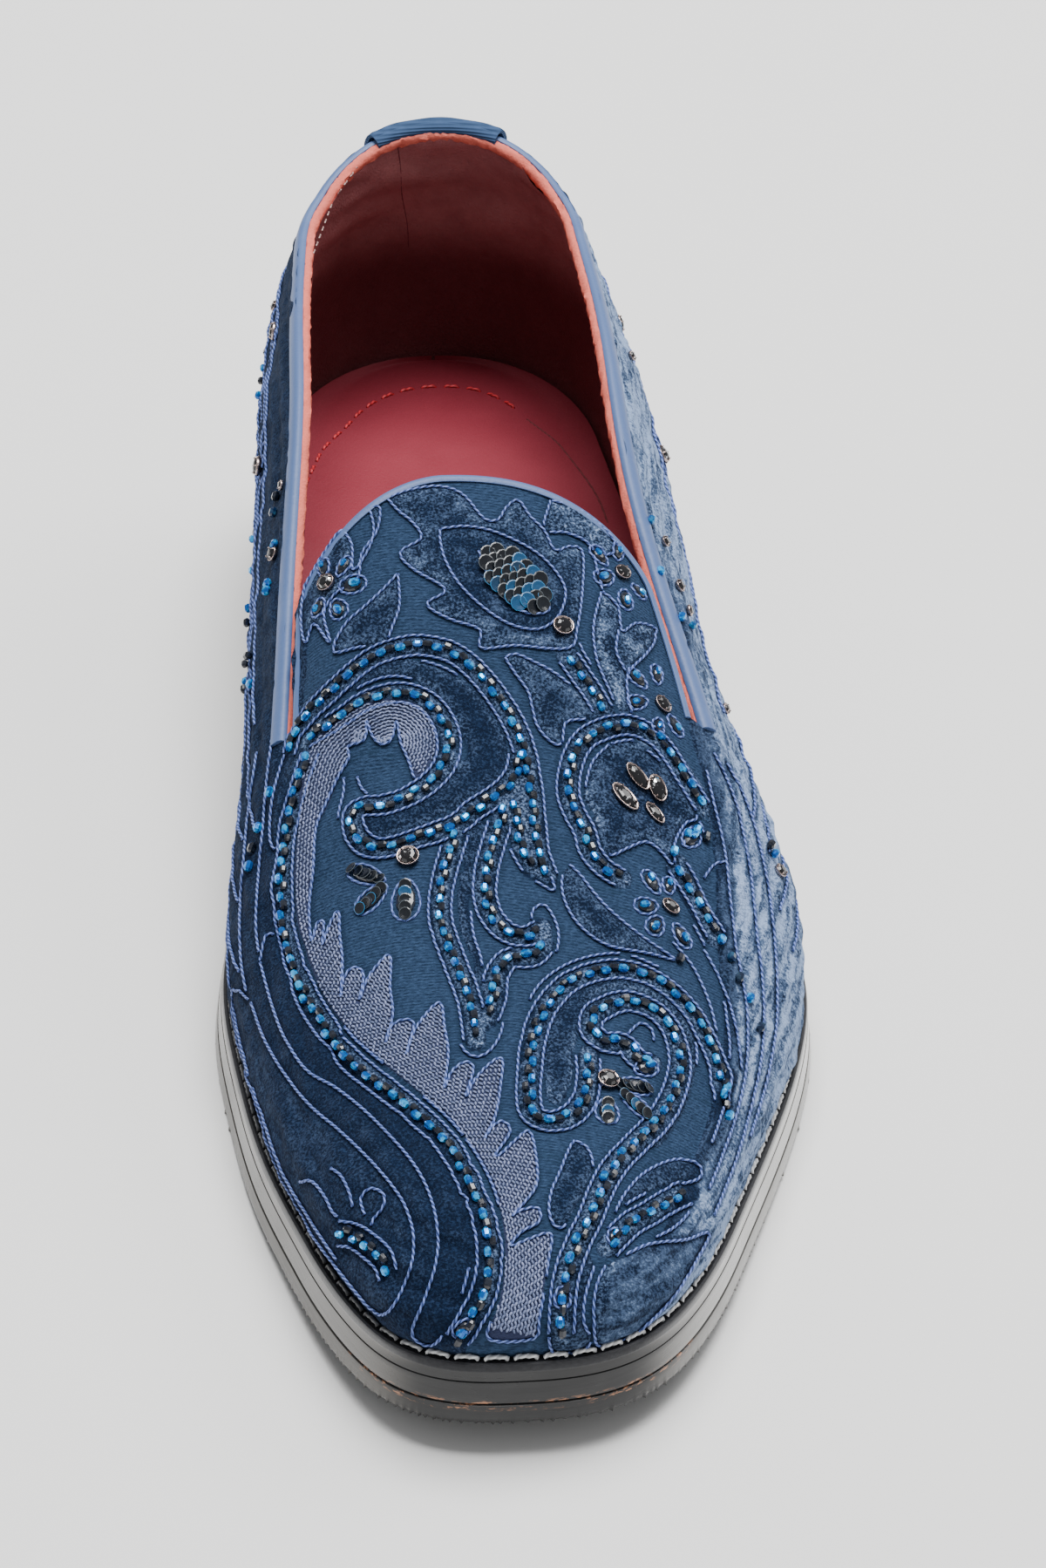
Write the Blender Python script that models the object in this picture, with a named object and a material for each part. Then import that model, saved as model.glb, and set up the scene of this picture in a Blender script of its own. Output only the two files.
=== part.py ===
"""A slip-on dress shoe for the left foot, built from the pieces that its maker would put together.

Metres, +Z up. The toe points along -Y and the outer side of the foot is towards +X. The origin lies on
the floor under the middle of the shoe's box. Tables hold their lengths as shares of the named sizes.

The edge of the sole is walked by stations, from the heel's back at 0 to the toe's tip at LAST, on the
inner and the outer side. At each station an arch rises from the feather line, where the upper meets the
welt, to the ridge over the foot. Turn is the place on that arch: 0 at the feather line, 1 on the ridge.
"""

import math
from collections import Counter
from functools import lru_cache

import bmesh
import bpy
import numpy as np
from mathutils import Vector

# Overall sizes of the sole
SOLE_LENGTH = 0.306
SOLE_WIDTH = 0.1118
HEEL_HEIGHT = 0.0185
TOE_SPRING = 0.0070

# Layers of the sole, from the floor up, and how far each stands back from the one below
OUTSOLE_THICK = 0.0040
MIDSOLE_THICK = 0.0042
WELT_THICK = 0.0034
MIDSOLE_STEP = 0.0009
WELT_STEP = 0.0016
WELT_LAP = 0.0005
EDGE_ROUND = 0.0007

# Heel block under the sole
HEEL_LENGTH = 0.074
TOP_PIECE_THICK = 0.0062
HEEL_TAPER = 0.0022
HEEL_STEP = 0.0012
BREAST_HOLLOW = 0.0045

# Insole inside the upper, measured up from the feather line
INSOLE_RISE = 0.0036
INSOLE_ROUND = 0.0012

# Where the sole is flat on the floor, and its rounded ends, as shares of its length from the heel
FLAT_START_SHARE = 0.625
FLAT_END_SHARE = 0.715
HEEL_CAP_SHARE = 0.138
TOE_CAP_SHARE = 0.125
HEEL_ROUNDNESS = 2.15
TOE_SQUARENESS = 2.65

# Upper
UPPER_WALL = 0.0022
UPPER_BULGE = 0.0016
COUNTER_BULGE = 0.0020
BACK_HEIGHT = 0.0605
THROAT_HEIGHT = 0.0530
TONGUE_BOW = 0.0178
SLIT_LENGTH = 0.0235
SLIT_GAP = 0.0036

# Trim
BINDING_WIDTH = 0.0031
TONGUE_BINDING_WIDTH = 0.0016
BINDING_THICK = 0.0008
GORE_THICK = 0.0010
GORE_LAP = 0.0050
TAB_WIDTH = 0.0240
TAB_DROP = 0.0300
TAB_RISE = 0.0010
TAB_THICK = 0.0012

# Gap that touching pieces keep
JOINT_GAP = 0.0003

# Plan of the sole: share of the length from the heel, then the inner and outer edge as shares of the width
PLAN = (
    # along, inner, outer
    (0.00, 0.268, 0.329),
    (0.10, 0.298, 0.337),
    (0.20, 0.324, 0.357),
    (0.32, 0.344, 0.376),
    (0.44, 0.374, 0.394),
    (0.55, 0.411, 0.448),
    (0.64, 0.441, 0.489),
    (0.72, 0.430, 0.456),
    (0.80, 0.402, 0.381),
    (0.88, 0.351, 0.294),
    (0.95, 0.315, 0.228),
    (1.00, 0.316, 0.201),
)

# Ridge of the upper: its height over the feather line as a share of THROAT_HEIGHT, its side shift as a share
# of the width, the roundness of the arch below it, and the welt showing beside it as a share of WELT_MARGIN
WELT_MARGIN = 0.0020
RIDGE = (
    # along, height, shift, roundness, margin
    (0.00, 1.75, 0.012, 2.15, 0.60),
    (0.15, 1.54, -0.012, 2.07, 0.60),
    (0.30, 1.26, -0.044, 2.60, 0.60),
    (0.42, 1.13, -0.055, 2.78, 0.75),
    (0.50, 1.08, -0.062, 2.65, 0.95),
    (0.60, 0.90, -0.076, 2.45, 1.00),
    (0.70, 0.69, -0.080, 2.15, 1.00),
    (0.80, 0.545, -0.083, 2.19, 1.00),
    (0.88, 0.435, -0.095, 2.20, 1.00),
    (0.95, 0.36, -0.105, 2.25, 1.00),
    (1.00, 0.31, -0.110, 2.30, 0.95),
)
RIDGE_HEEL_SHARE = 0.124
RIDGE_TOE_SHARE = 0.900
RIDGE_BLEND_SHARE = 0.030

# Topline: height over the feather line as a share of BACK_HEIGHT, on the inner and the outer side
TOPLINE = (
    # along, inner, outer
    (0.00, 1.042, 1.042),
    (0.08, 0.930, 0.962),
    (0.20, 0.862, 0.895),
    (0.32, 0.815, 0.862),
    (0.42, 0.740, 0.790),
    (0.50, 0.684, 0.700),
    (0.60, 0.570, 0.563),
)
THROAT_SHARE = 0.484

# The tongue's bow: how far along the vamp it fades in and out, and how square its two corners are
BOW_IN = (0.30, 0.45)
BOW_OUT = (0.56, 0.86)
BOW_SQUARE_INNER = 1.50
BOW_SQUARE_OUTER = 2.0

# Resolution of the faceted solids
HEEL_STEPS = 9
SEAT_STEPS = 3
BACK_STEPS = 8
SLIT_STEPS = 5
VAMP_STEPS = 10
TOE_STEPS = 11
WALL_ROWS = 6
CROWN_ROWS = 6
BREAST_STEPS = 6
TAB_STEPS = 3
TAB_ROWS = 6

# Stations at which one stretch of the edge ends and the next begins
HEEL_END = HEEL_STEPS
BREAST = HEEL_END + SEAT_STEPS
CORNER = BREAST + BACK_STEPS
NOTCH = CORNER + SLIT_STEPS
TOE_START = NOTCH + VAMP_STEPS
LAST = TOE_START + TOE_STEPS

INNER, OUTER = -1, 1
NUDGE = 0.02


def spline(rows, column):
    """A natural cubic through one column of a table, as a function of its first column."""
    x = np.array([row[0] for row in rows])
    y = np.array([row[column] for row in rows])
    step, slope = np.diff(x), np.diff(y) / np.diff(x)
    system = np.eye(len(x))
    right = np.zeros(len(x))
    for i in range(1, len(x) - 1):
        system[i, i - 1 : i + 2] = step[i - 1], 2 * (step[i - 1] + step[i]), step[i]
        right[i] = 6 * (slope[i] - slope[i - 1])
    bend = np.linalg.solve(system, right)

    def value(at):
        i = min(max(int(np.searchsorted(x, at)) - 1, 0), len(x) - 2)
        before, after, width = at - x[i], x[i + 1] - at, step[i]
        return (
            (bend[i] * after**3 + bend[i + 1] * before**3) / (6 * width)
            + (y[i] / width - bend[i] * width / 6) * after
            + (y[i + 1] / width - bend[i + 1] * width / 6) * before
        )

    return value


plan_edge = {INNER: spline(PLAN, 1), OUTER: spline(PLAN, 2)}
ridge_share, ridge_shift = spline(RIDGE, 1), spline(RIDGE, 2)
arch_roundness, margin_share = spline(RIDGE, 3), spline(RIDGE, 4)
topline_share = {INNER: spline(TOPLINE, 1), OUTER: spline(TOPLINE, 2)}


def ease(value):
    value = min(max(value, 0.0), 1.0)
    return value * value * (3 - 2 * value)


def share_of(y):
    """Share of the length, from the heel, at a place along Y."""
    return 0.5 - y / SOLE_LENGTH


def tread_height(y):
    """Height of the outsole's underside: level on the heel, down the waist, flat at the ball, up to the toe."""
    along = share_of(y)
    if along <= FLAT_START_SHARE:
        breast = HEEL_LENGTH / SOLE_LENGTH
        return HEEL_HEIGHT * ease((FLAT_START_SHARE - along) / (FLAT_START_SHARE - breast))
    if along <= FLAT_END_SHARE:
        return 0.0
    return TOE_SPRING * ((along - FLAT_END_SHARE) / (1 - FLAT_END_SHARE)) ** 1.7


# The stretches between the rounded ends: station, and share of the length there
BODY = (
    (HEEL_END, HEEL_CAP_SHARE),
    (BREAST, HEEL_LENGTH / SOLE_LENGTH),
    (CORNER, THROAT_SHARE),
    (NOTCH, THROAT_SHARE + SLIT_LENGTH / SOLE_LENGTH),
    (TOE_START, 1 - TOE_CAP_SHARE),
)


def place_of(station):
    """(share of the length, share of the width) at a station, which may lie between two whole numbers."""
    if station < HEEL_END:
        turned = 0.5 * math.pi * station / HEEL_END
        power = 2 / HEEL_ROUNDNESS
        return HEEL_CAP_SHARE * (1 - math.cos(turned) ** power), math.sin(turned) ** power
    if station > TOE_START:
        turned = 0.5 * math.pi * (station - TOE_START) / (LAST - TOE_START)
        power = 2 / TOE_SQUARENESS
        return 1 - TOE_CAP_SHARE * (1 - math.sin(turned) ** power), max(math.cos(turned), 0.0) ** power
    marks, shares = zip(*BODY)
    return float(np.interp(station, marks, shares)), 1.0


def station_of(along):
    """The station between the rounded ends that lies at a share of the length."""
    marks, shares = zip(*BODY)
    return float(np.interp(along, shares, marks))


def raw_edge(station, side):
    """The plan's edge in shares of the width, drawn in to the middle line by the caps at either end."""
    along, cap = place_of(station)
    inner, outer = plan_edge[INNER](along), plan_edge[OUTER](along)
    return 0.5 * (outer - inner) + side * 0.5 * (outer + inner) * cap


EDGE_LOW = min(raw_edge(station, INNER) for station in range(LAST + 1))
EDGE_HIGH = max(raw_edge(station, OUTER) for station in range(LAST + 1))


def across(share):
    """X of a share of the width, so that the whole outline is centred and exactly SOLE_WIDTH across."""
    return SOLE_WIDTH * (share - 0.5 * (EDGE_LOW + EDGE_HIGH)) / (EDGE_HIGH - EDGE_LOW)


def edge_point(station, side):
    """The sole's widest edge in plan. Past either end the walk goes on along the other side."""
    if station < 0:
        station, side = -station, -side
    if station > LAST:
        station, side = 2 * LAST - station, -side
    along, _ = place_of(station)
    return np.array([across(raw_edge(station, side)), SOLE_LENGTH * (0.5 - along)])


@lru_cache(maxsize=None)
def edge_with_normal(station, side):
    ahead = edge_point(station + NUDGE, side) - edge_point(station - NUDGE, side)
    normal = np.array([-ahead[1], ahead[0]]) * side
    return edge_point(station, side), normal / np.linalg.norm(normal)


def inset_edge(station, side, inset):
    """The sole's edge in plan, moved in by a length."""
    point, normal = edge_with_normal(station, side)
    return point - normal * inset


STACK = OUTSOLE_THICK + MIDSOLE_THICK + WELT_THICK + 3 * JOINT_GAP


def feather_inset(station):
    """How far in from the sole's edge the upper's outside meets the welt."""
    return WELT_STEP + WELT_MARGIN * margin_share(place_of(station)[0])


def feather_height(y):
    return tread_height(y) + STACK


def ridge_height(y):
    return feather_height(y) + THROAT_HEIGHT * ridge_share(min(max(share_of(y), 0.0), 1.0))


def soft_clamp(value, low, high, blend):
    """value held between low and high, with rounded corners so that the arches fan out smoothly."""
    up = 0.5 * (value + low + math.sqrt((value - low) ** 2 + blend**2))
    return 0.5 * (up + high - math.sqrt((up - high) ** 2 + blend**2))


def lean_and_rise(turn, along):
    """Shares of the way in to the ridge and up to it, on an arch with the roundness it has there."""
    power = 2 / arch_roundness(along)
    quarter = 0.5 * math.pi * turn
    return 1 - math.cos(quarter) ** power, math.sin(quarter) ** power


@lru_cache(maxsize=None)
def skin(station, side, turn):
    """A point on the last, which the upper's outside follows."""
    if station < 0:
        station, side = -station, -side
    if station > LAST:
        station, side = 2 * LAST - station, -side
    if turn > 1:
        turn, side = 2 - turn, -side
    turn = max(turn, 0.0)
    inset = feather_inset(station)
    foot = inset_edge(station, side, inset)
    across_from = inset_edge(station, -side, inset)
    along = 0.5 * (share_of(foot[1]) + share_of(across_from[1]))
    top_along = soft_clamp(along, RIDGE_HEEL_SHARE, RIDGE_TOE_SHARE, RIDGE_BLEND_SHARE)
    top = np.array([across(ridge_shift(top_along)), SOLE_LENGTH * (0.5 - top_along)])
    lean, rise = lean_and_rise(turn, along)
    at_back = ease((HEEL_CAP_SHARE - along) / HEEL_CAP_SHARE)
    swell = UPPER_BULGE + (COUNTER_BULGE - UPPER_BULGE) * at_back
    swelling = math.sin(math.pi * min(rise / (0.75 - 0.30 * at_back), 1.0))
    normal = edge_with_normal(station, side)[1]
    place = foot + (top - foot) * lean + normal * swell * swelling
    low = feather_height(foot[1])
    return np.array([*place, low + (ridge_height(place[1]) - low) * rise])


def skin_normal(station, side, turn):
    """Unit normal of the last at a point, facing out. On the toe's last arch it is read short of the ridge."""
    if station > LAST - NUDGE:
        turn = min(turn, 1 - 2 * NUDGE)
    ahead = skin(station + NUDGE, side, turn) - skin(station - NUDGE, side, turn)
    up = skin(station, side, turn + NUDGE) - skin(station, side, turn - NUDGE)
    normal = np.cross(up, ahead) * side
    return normal / np.linalg.norm(normal)


@lru_cache(maxsize=None)
def turn_at(station, side, height):
    """The turn at which this arch is a given height over the feather line."""
    foot = skin(station, side, 0.0)[2]
    low, high = 0.0, 1.0
    for _ in range(26):
        middle = 0.5 * (low + high)
        if skin(station, side, middle)[2] - foot < height:
            low = middle
        else:
            high = middle
    return 0.5 * (low + high)


def past_notch(row_turn, station, side):
    """In front of the slit, a row goes on at its turn there, and both sides come together at the toe."""
    own, other = row_turn(NOTCH, side), row_turn(NOTCH, -side)
    return own + 0.5 * (other - own) * ease((station - NOTCH) / (LAST - NOTCH))


@lru_cache(maxsize=None)
def topline_turn(station, side, lift=0.0):
    """Turn of the quarter's cut edge, or lift metres above it."""
    if station > NOTCH:
        return past_notch(topline_turn, station, side)
    return turn_at(station, side, BACK_HEIGHT * topline_share[side](place_of(station)[0]) + lift)


@lru_cache(maxsize=None)
def slit_turn(station, side):
    """Turn of the tongue's edge along the slit, which lies the slit's gap above the quarter's edge."""
    if station > NOTCH:
        return past_notch(slit_turn, station, side)
    low = topline_turn(station, side)
    step = 0.02
    length = np.linalg.norm(skin(station, side, low + step) - skin(station, side, low))
    return min(low + step * SLIT_GAP / length, 0.95)


def drawn_back(station, side, turn):
    """The station moved back along the last, so that the rows over the crown bow like the tongue's edge."""
    along, cap = place_of(station)
    slit = slit_turn(station, side)
    if cap < 1 or station < CORNER or turn <= slit:
        return station
    start, _ = lean_and_rise(slit, along)
    lean, _ = lean_and_rise(turn, along)
    left = (1 - lean) / (1 - start)
    fade_in = ease((along - BOW_IN[0]) / (BOW_IN[1] - BOW_IN[0]))
    fade_out = ease((BOW_OUT[1] - along) / (BOW_OUT[1] - BOW_OUT[0]))
    square = BOW_SQUARE_INNER if side == INNER else BOW_SQUARE_OUTER
    back = TONGUE_BOW * fade_in * fade_out * max(1 - left**square, 0.0) ** (1 / square)
    return station_of(along - back / SOLE_LENGTH)


def shell(station, side, turn, out=0.0):
    """A point of the upper: on its outside, or out metres outside that."""
    station = drawn_back(station, side, turn)
    return skin(station, side, turn) + out * skin_normal(station, side, turn)


def finish(name, colour, roughness, metallic=0.0):
    """A plain material in the piece's own colour."""
    material = bpy.data.materials.new(name)
    material.use_nodes = True
    principled = material.node_tree.nodes["Principled BSDF"]
    principled.inputs["Base Color"].default_value = (*colour, 1.0)
    principled.inputs["Roughness"].default_value = roughness
    principled.inputs["Metallic"].default_value = metallic
    material.diffuse_color = (*colour, 1.0)
    return material


def add_solid(name, points, faces, material):
    """A named object from points and faces, with points that coincide joined and all faces turned out."""
    mesh = bpy.data.meshes.new(name)
    mesh.from_pydata([tuple(point) for point in points], [], faces)
    shape = bmesh.new()
    shape.from_mesh(mesh)
    bmesh.ops.remove_doubles(shape, verts=shape.verts, dist=1e-6)
    bmesh.ops.recalc_face_normals(shape, faces=shape.faces)
    shape.to_mesh(mesh)
    shape.free()
    mesh.shade_smooth()
    mesh.set_sharp_from_angle(angle=math.radians(40))
    mesh.materials.append(material)
    solid = bpy.data.objects.new(name, mesh)
    bpy.context.scene.collection.objects.link(solid)
    return solid


def thicken(name, outer, inner, faces, material):
    """A closed sheet between two layers of points that share one set of faces."""
    count = len(outer)
    uses = Counter(frozenset(pair) for face in faces for pair in zip(face, face[1:] + face[:1]))
    closed = [tuple(face) for face in faces]
    closed += [tuple(i + count for i in reversed(face)) for face in faces]
    for face in faces:
        for a, b in zip(face, face[1:] + face[:1]):
            if uses[frozenset((a, b))] == 1:
                closed.append((b, a, a + count, b + count))
    return add_solid(name, list(outer) + list(inner), closed, material)


def grid_faces(rows, columns):
    """Quads of a patch whose points run row by row."""
    return [
        [r * columns + c, r * columns + c + 1, (r + 1) * columns + c + 1, (r + 1) * columns + c]
        for r in range(rows - 1)
        for c in range(columns - 1)
    ]


def loft(name, rings, cap_faces, material):
    """A solid through closed rings of as many points each, its ends closed by faces on the ring's numbers."""
    count = len(rings[0])
    faces = [
        (
            level * count + i,
            level * count + (i + 1) % count,
            (level + 1) * count + (i + 1) % count,
            (level + 1) * count + i,
        )
        for level in range(len(rings) - 1)
        for i in range(count)
    ]
    faces += [tuple(face) for face in cap_faces]
    top = (len(rings) - 1) * count
    faces += [tuple(top + i for i in face) for face in cap_faces]
    return add_solid(name, [point for ring in rings for point in ring], faces, material)


def sole_ring(inset, lift):
    """Points round the whole sole: its edge moved in, at a height over the tread. inset may vary by station."""
    walk = [(i, INNER) for i in range(LAST + 1)] + [(i, OUTER) for i in range(LAST - 1, 0, -1)]
    ring = []
    for station, side in walk:
        x, y = inset_edge(station, side, inset(station) if callable(inset) else inset)
        ring.append((x, y, tread_height(y) + lift))
    return ring


def sole_caps():
    """Strips across the sole from its inner to its outer edge, on a ring's numbers."""
    count = 2 * LAST
    caps = [(0, 1, count - 1), (LAST - 1, LAST, LAST + 1)]
    caps += [(i, i + 1, count - i - 1, count - i) for i in range(1, LAST - 1)]
    return caps


def sole_layer(name, inset, low, high, material, edge_round=EDGE_ROUND):
    """A layer of the sole with the corners of its edge taken off."""

    def moved_in(station):
        return (inset(station) if callable(inset) else inset) + edge_round

    rings = [
        sole_ring(moved_in, low),
        sole_ring(inset, low + edge_round),
        sole_ring(inset, high - edge_round),
        sole_ring(moved_in, high),
    ]
    return loft(name, rings, sole_caps(), material)


def seat_inset(station):
    """Inner edge of the welt, just inside the upper's wall."""
    return feather_inset(station) + UPPER_WALL + WELT_LAP


def build_soles(rubber, edge_leather, welt_leather, sock):
    midsole_low = OUTSOLE_THICK + JOINT_GAP
    midsole_high = midsole_low + MIDSOLE_THICK
    welt_low = midsole_high + JOINT_GAP
    welt_high = welt_low + WELT_THICK
    sole_layer("outsole", 0.0, 0.0, OUTSOLE_THICK, rubber)
    sole_layer("midsole", MIDSOLE_STEP, midsole_low, midsole_high, edge_leather)
    rings = [
        sole_ring(seat_inset, welt_low),
        sole_ring(WELT_STEP + EDGE_ROUND, welt_low),
        sole_ring(WELT_STEP, welt_low + EDGE_ROUND),
        sole_ring(WELT_STEP, welt_high - EDGE_ROUND),
        sole_ring(WELT_STEP + EDGE_ROUND, welt_high),
        sole_ring(seat_inset, welt_high),
        sole_ring(seat_inset, welt_low),
    ]
    loft("welt", rings, [], welt_leather)

    def insole_inset(station):
        return seat_inset(station) + JOINT_GAP

    insole_high = STACK + INSOLE_RISE
    sole_layer("insole", insole_inset, welt_low, insole_high, sock, INSOLE_ROUND)


def heel_ring(height):
    """Outline of the heel block at a height: the sole's edge up to the breast, closed by the hollow breast."""
    inset = HEEL_STEP + HEEL_TAPER * (1 - height / HEEL_HEIGHT)
    inner = [inset_edge(i, INNER, inset) for i in range(BREAST + 1)]
    outer = [inset_edge(i, OUTER, inset) for i in range(BREAST, 0, -1)]
    breast = []
    for i in range(1, BREAST_STEPS):
        share = i / BREAST_STEPS
        point = inner[-1] + (outer[0] - inner[-1]) * share
        hollow = BREAST_HOLLOW * (1 - (2 * share - 1) ** 2)
        breast.append(point + np.array([0.0, hollow]))
    return [(x, y, height) for x, y in inner + breast + outer]


def build_heel(rubber, stack_leather):
    """The heel block and the top piece that it stands on."""
    count = len(heel_ring(0.0))
    cap = [tuple(range(count))]
    seam = TOP_PIECE_THICK + JOINT_GAP
    loft("heel_top_piece", [heel_ring(0.0), heel_ring(TOP_PIECE_THICK)], cap, rubber)
    loft("heel_stack", [heel_ring(seam), heel_ring(HEEL_HEIGHT - JOINT_GAP)], cap, stack_leather)


def upper_turns(station, side):
    """Turns of the grid's rows: up the wall to the quarter's edge, then from the slit to the ridge."""
    low, high = topline_turn(station, side), slit_turn(station, side)
    wall = [low * i / WALL_ROWS for i in range(WALL_ROWS + 1)]
    return wall + [high + (1 - high) * i / CROWN_ROWS for i in range(CROWN_ROWS + 1)]


def upper_has_cell(station, row):
    """Whether the wall fills the grid's cell: not over the foot's opening, nor in the slit."""
    if row < WALL_ROWS:
        return True
    if row == WALL_ROWS:
        return station >= NOTCH
    return station >= CORNER


def build_upper(cloth):
    """The upper as one wall: quarters, vamp and tongue, open at the collar, along the slits and underneath."""
    rows = WALL_ROWS + 1 + CROWN_ROWS
    number, outer, inner = {}, [], []
    for side in (INNER, OUTER):
        for station in range(LAST + 1):
            for row, turn in enumerate(upper_turns(station, side)):
                used = any(
                    upper_has_cell(s, r) and 0 <= s < LAST and 0 <= r < rows
                    for s in (station - 1, station)
                    for r in (row - 1, row)
                )
                if not used:
                    continue
                number[side, station, row] = len(outer)
                outside = shell(station, side, turn)
                inside = shell(station, side, turn, -UPPER_WALL)
                if row == 0:
                    inside[2] = feather_height(inside[1])
                outer.append(outside)
                inner.append(inside)
    faces = [
        [
            number[side, station, row],
            number[side, station + 1, row],
            number[side, station + 1, row + 1],
            number[side, station, row + 1],
        ]
        for side in (INNER, OUTER)
        for station in range(LAST)
        for row in range(rows)
        if upper_has_cell(station, row)
    ]
    same = shared_points(outer)
    faces = [[same[i] for i in face] for face in faces]
    return thicken("upper", outer, inner, faces, cloth)


def shared_points(points):
    """For each point, the number of the first one in the list at the same place."""
    first = {}
    return [first.setdefault(tuple(np.round(point, 7)), i) for i, point in enumerate(points)]


def build_band(name, path, width, side_sign, material):
    """A flat binding on the upper's outside, between a path along a cut edge and its parallel."""
    on_edge = np.array([shell(*place) for place in path])
    normals = np.array([(shell(*place, 0.001) - shell(*place)) / 0.001 for place in path])
    along = np.gradient(on_edge, axis=0)
    inwards = np.cross(normals, along) * side_sign
    inwards /= np.linalg.norm(inwards, axis=1)[:, None]
    patch = np.concatenate([on_edge, on_edge + width * inwards])
    lift = np.concatenate([normals, normals])
    faces = grid_faces(2, len(path))
    return thicken(
        name, patch + lift * (JOINT_GAP + BINDING_THICK), patch + lift * JOINT_GAP, faces, material
    )


def build_bindings(kid_leather):
    """The leather that binds the quarters' edge round the foot, and the one that binds the tongue."""
    inner = [(i, INNER, topline_turn(i, INNER)) for i in range(NOTCH, -1, -1)]
    outer = [(i, OUTER, topline_turn(i, OUTER)) for i in range(1, NOTCH + 1)]
    build_band("binding_collar", inner + outer, BINDING_WIDTH, 1, kid_leather)
    path = [(i, INNER, slit_turn(i, INNER)) for i in range(NOTCH, CORNER, -1)]
    path += [(CORNER, INNER, turn) for turn in upper_turns(CORNER, INNER)[WALL_ROWS + 1 :]]
    path += [(CORNER, OUTER, turn) for turn in upper_turns(CORNER, OUTER)[-2:WALL_ROWS:-1]]
    path += [(i, OUTER, slit_turn(i, OUTER)) for i in range(CORNER + 1, NOTCH + 1)]
    build_band("binding_tongue", path, TONGUE_BINDING_WIDTH, -1, kid_leather)


def build_gore(name, side, elastic):
    """The elastic panel behind one slit, lapped under the quarter and under the tongue."""
    near = -(UPPER_WALL + JOINT_GAP)
    outer, inner = [], []
    for station in range(CORNER, NOTCH + 2):
        low, high = topline_turn(station, side), slit_turn(station, side)
        held = min(station, NOTCH)
        reach = np.linalg.norm(skin(held, side, high) - skin(held, side, low)) / (high - low)
        lap = GORE_LAP / reach
        for turn in (low - lap, low, high, high + lap):
            place = skin(station, side, turn)
            normal = skin_normal(station, side, turn)
            outer.append(place + normal * near)
            inner.append(place + normal * (near - GORE_THICK))
    return thicken(name, outer, inner, grid_faces(NOTCH + 2 - CORNER, 4), elastic)


def tab_half_station():
    """Station at which the back tab's side edge lies."""
    low, high = 0.0, float(HEEL_END)
    for _ in range(20):
        middle = 0.5 * (low + high)
        spread = shell(middle, OUTER, topline_turn(middle, OUTER))[0]
        spread -= shell(middle, INNER, topline_turn(middle, INNER))[0]
        low, high = (middle, high) if spread < TAB_WIDTH else (low, middle)
    return low


def build_back_tab(cloth):
    """The cloth strip over the back of the collar, lying on the binding and below it on the quarters."""
    half = tab_half_station()
    columns = [(half * i / TAB_STEPS, INNER) for i in range(TAB_STEPS, 0, -1)]
    columns += [(half * i / TAB_STEPS, OUTER) for i in range(TAB_STEPS + 1)]
    over_binding = JOINT_GAP + BINDING_THICK + JOINT_GAP
    outer, inner = [], []
    for row in range(TAB_ROWS + 1):
        drop = TAB_DROP * row / TAB_ROWS
        off_binding = ease((drop - TAB_RISE - BINDING_WIDTH) / (TAB_DROP / TAB_ROWS))
        gap = over_binding + (JOINT_GAP - over_binding) * off_binding
        for station, side in columns:
            turn = topline_turn(station, side, TAB_RISE - drop)
            outer.append(shell(station, side, turn, gap + TAB_THICK))
            inner.append(shell(station, side, turn, gap))
    return thicken("back_tab", outer, inner, grid_faces(TAB_ROWS + 1, len(columns)), cloth)


def centre_on_origin():
    """Moves every piece so that the middle of the shoe's box stands over the origin."""
    bpy.context.view_layer.update()
    pieces = list(bpy.context.scene.collection.objects)
    corners = np.array([piece.matrix_world @ v.co for piece in pieces for v in piece.data.vertices])
    middle = 0.5 * (corners.min(axis=0) + corners.max(axis=0))
    for piece in pieces:
        piece.location = Vector((-middle[0], -middle[1], 0.0))


def build_shoe():
    for leftover in list(bpy.data.objects):
        bpy.data.objects.remove(leftover)
    rubber = finish("outsole_rubber", (0.030, 0.031, 0.034), 0.42)
    edge_leather = finish("midsole_edge", (0.045, 0.046, 0.050), 0.28)
    welt_leather = finish("welt_leather", (0.035, 0.036, 0.040), 0.45)
    stack_leather = finish("heel_edge", (0.040, 0.040, 0.044), 0.30)
    top_rubber = finish("heel_rubber", (0.028, 0.028, 0.030), 0.60)
    sock = finish("insole_sock", (0.200, 0.032, 0.042), 0.62)
    velvet = finish("upper_velvet", (0.045, 0.120, 0.210), 0.85)
    kid_leather = finish("binding_kid", (0.150, 0.215, 0.370), 0.48)
    elastic = finish("gore_elastic", (0.016, 0.022, 0.040), 0.85)
    tab_cloth = finish("tab_cloth", (0.040, 0.110, 0.165), 0.80)
    build_soles(rubber, edge_leather, welt_leather, sock)
    build_heel(top_rubber, stack_leather)
    build_upper(velvet)
    build_bindings(kid_leather)
    build_gore("gore_medial", INNER, elastic)
    build_gore("gore_lateral", OUTER, elastic)
    build_back_tab(tab_cloth)
    centre_on_origin()


build_shoe()
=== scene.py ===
# %% [markdown]
# # A loafer in beaded velvet
# This lesson dresses the plain solids of a slip-on dress shoe: ribbed cloth and crushed velvet, couched
# cord, rows of glass beads, stones in claws, bound edges, a burgundy inside and a glossy welted sole.
# Lengths are in metres, the toe points along -Y, and the outer side of the left foot is towards +X.

import math

import bmesh
import bpy
import numpy as np
from mathutils import Matrix, Vector, kdtree, noise
from mathutils.bvhtree import BVHTree


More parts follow.
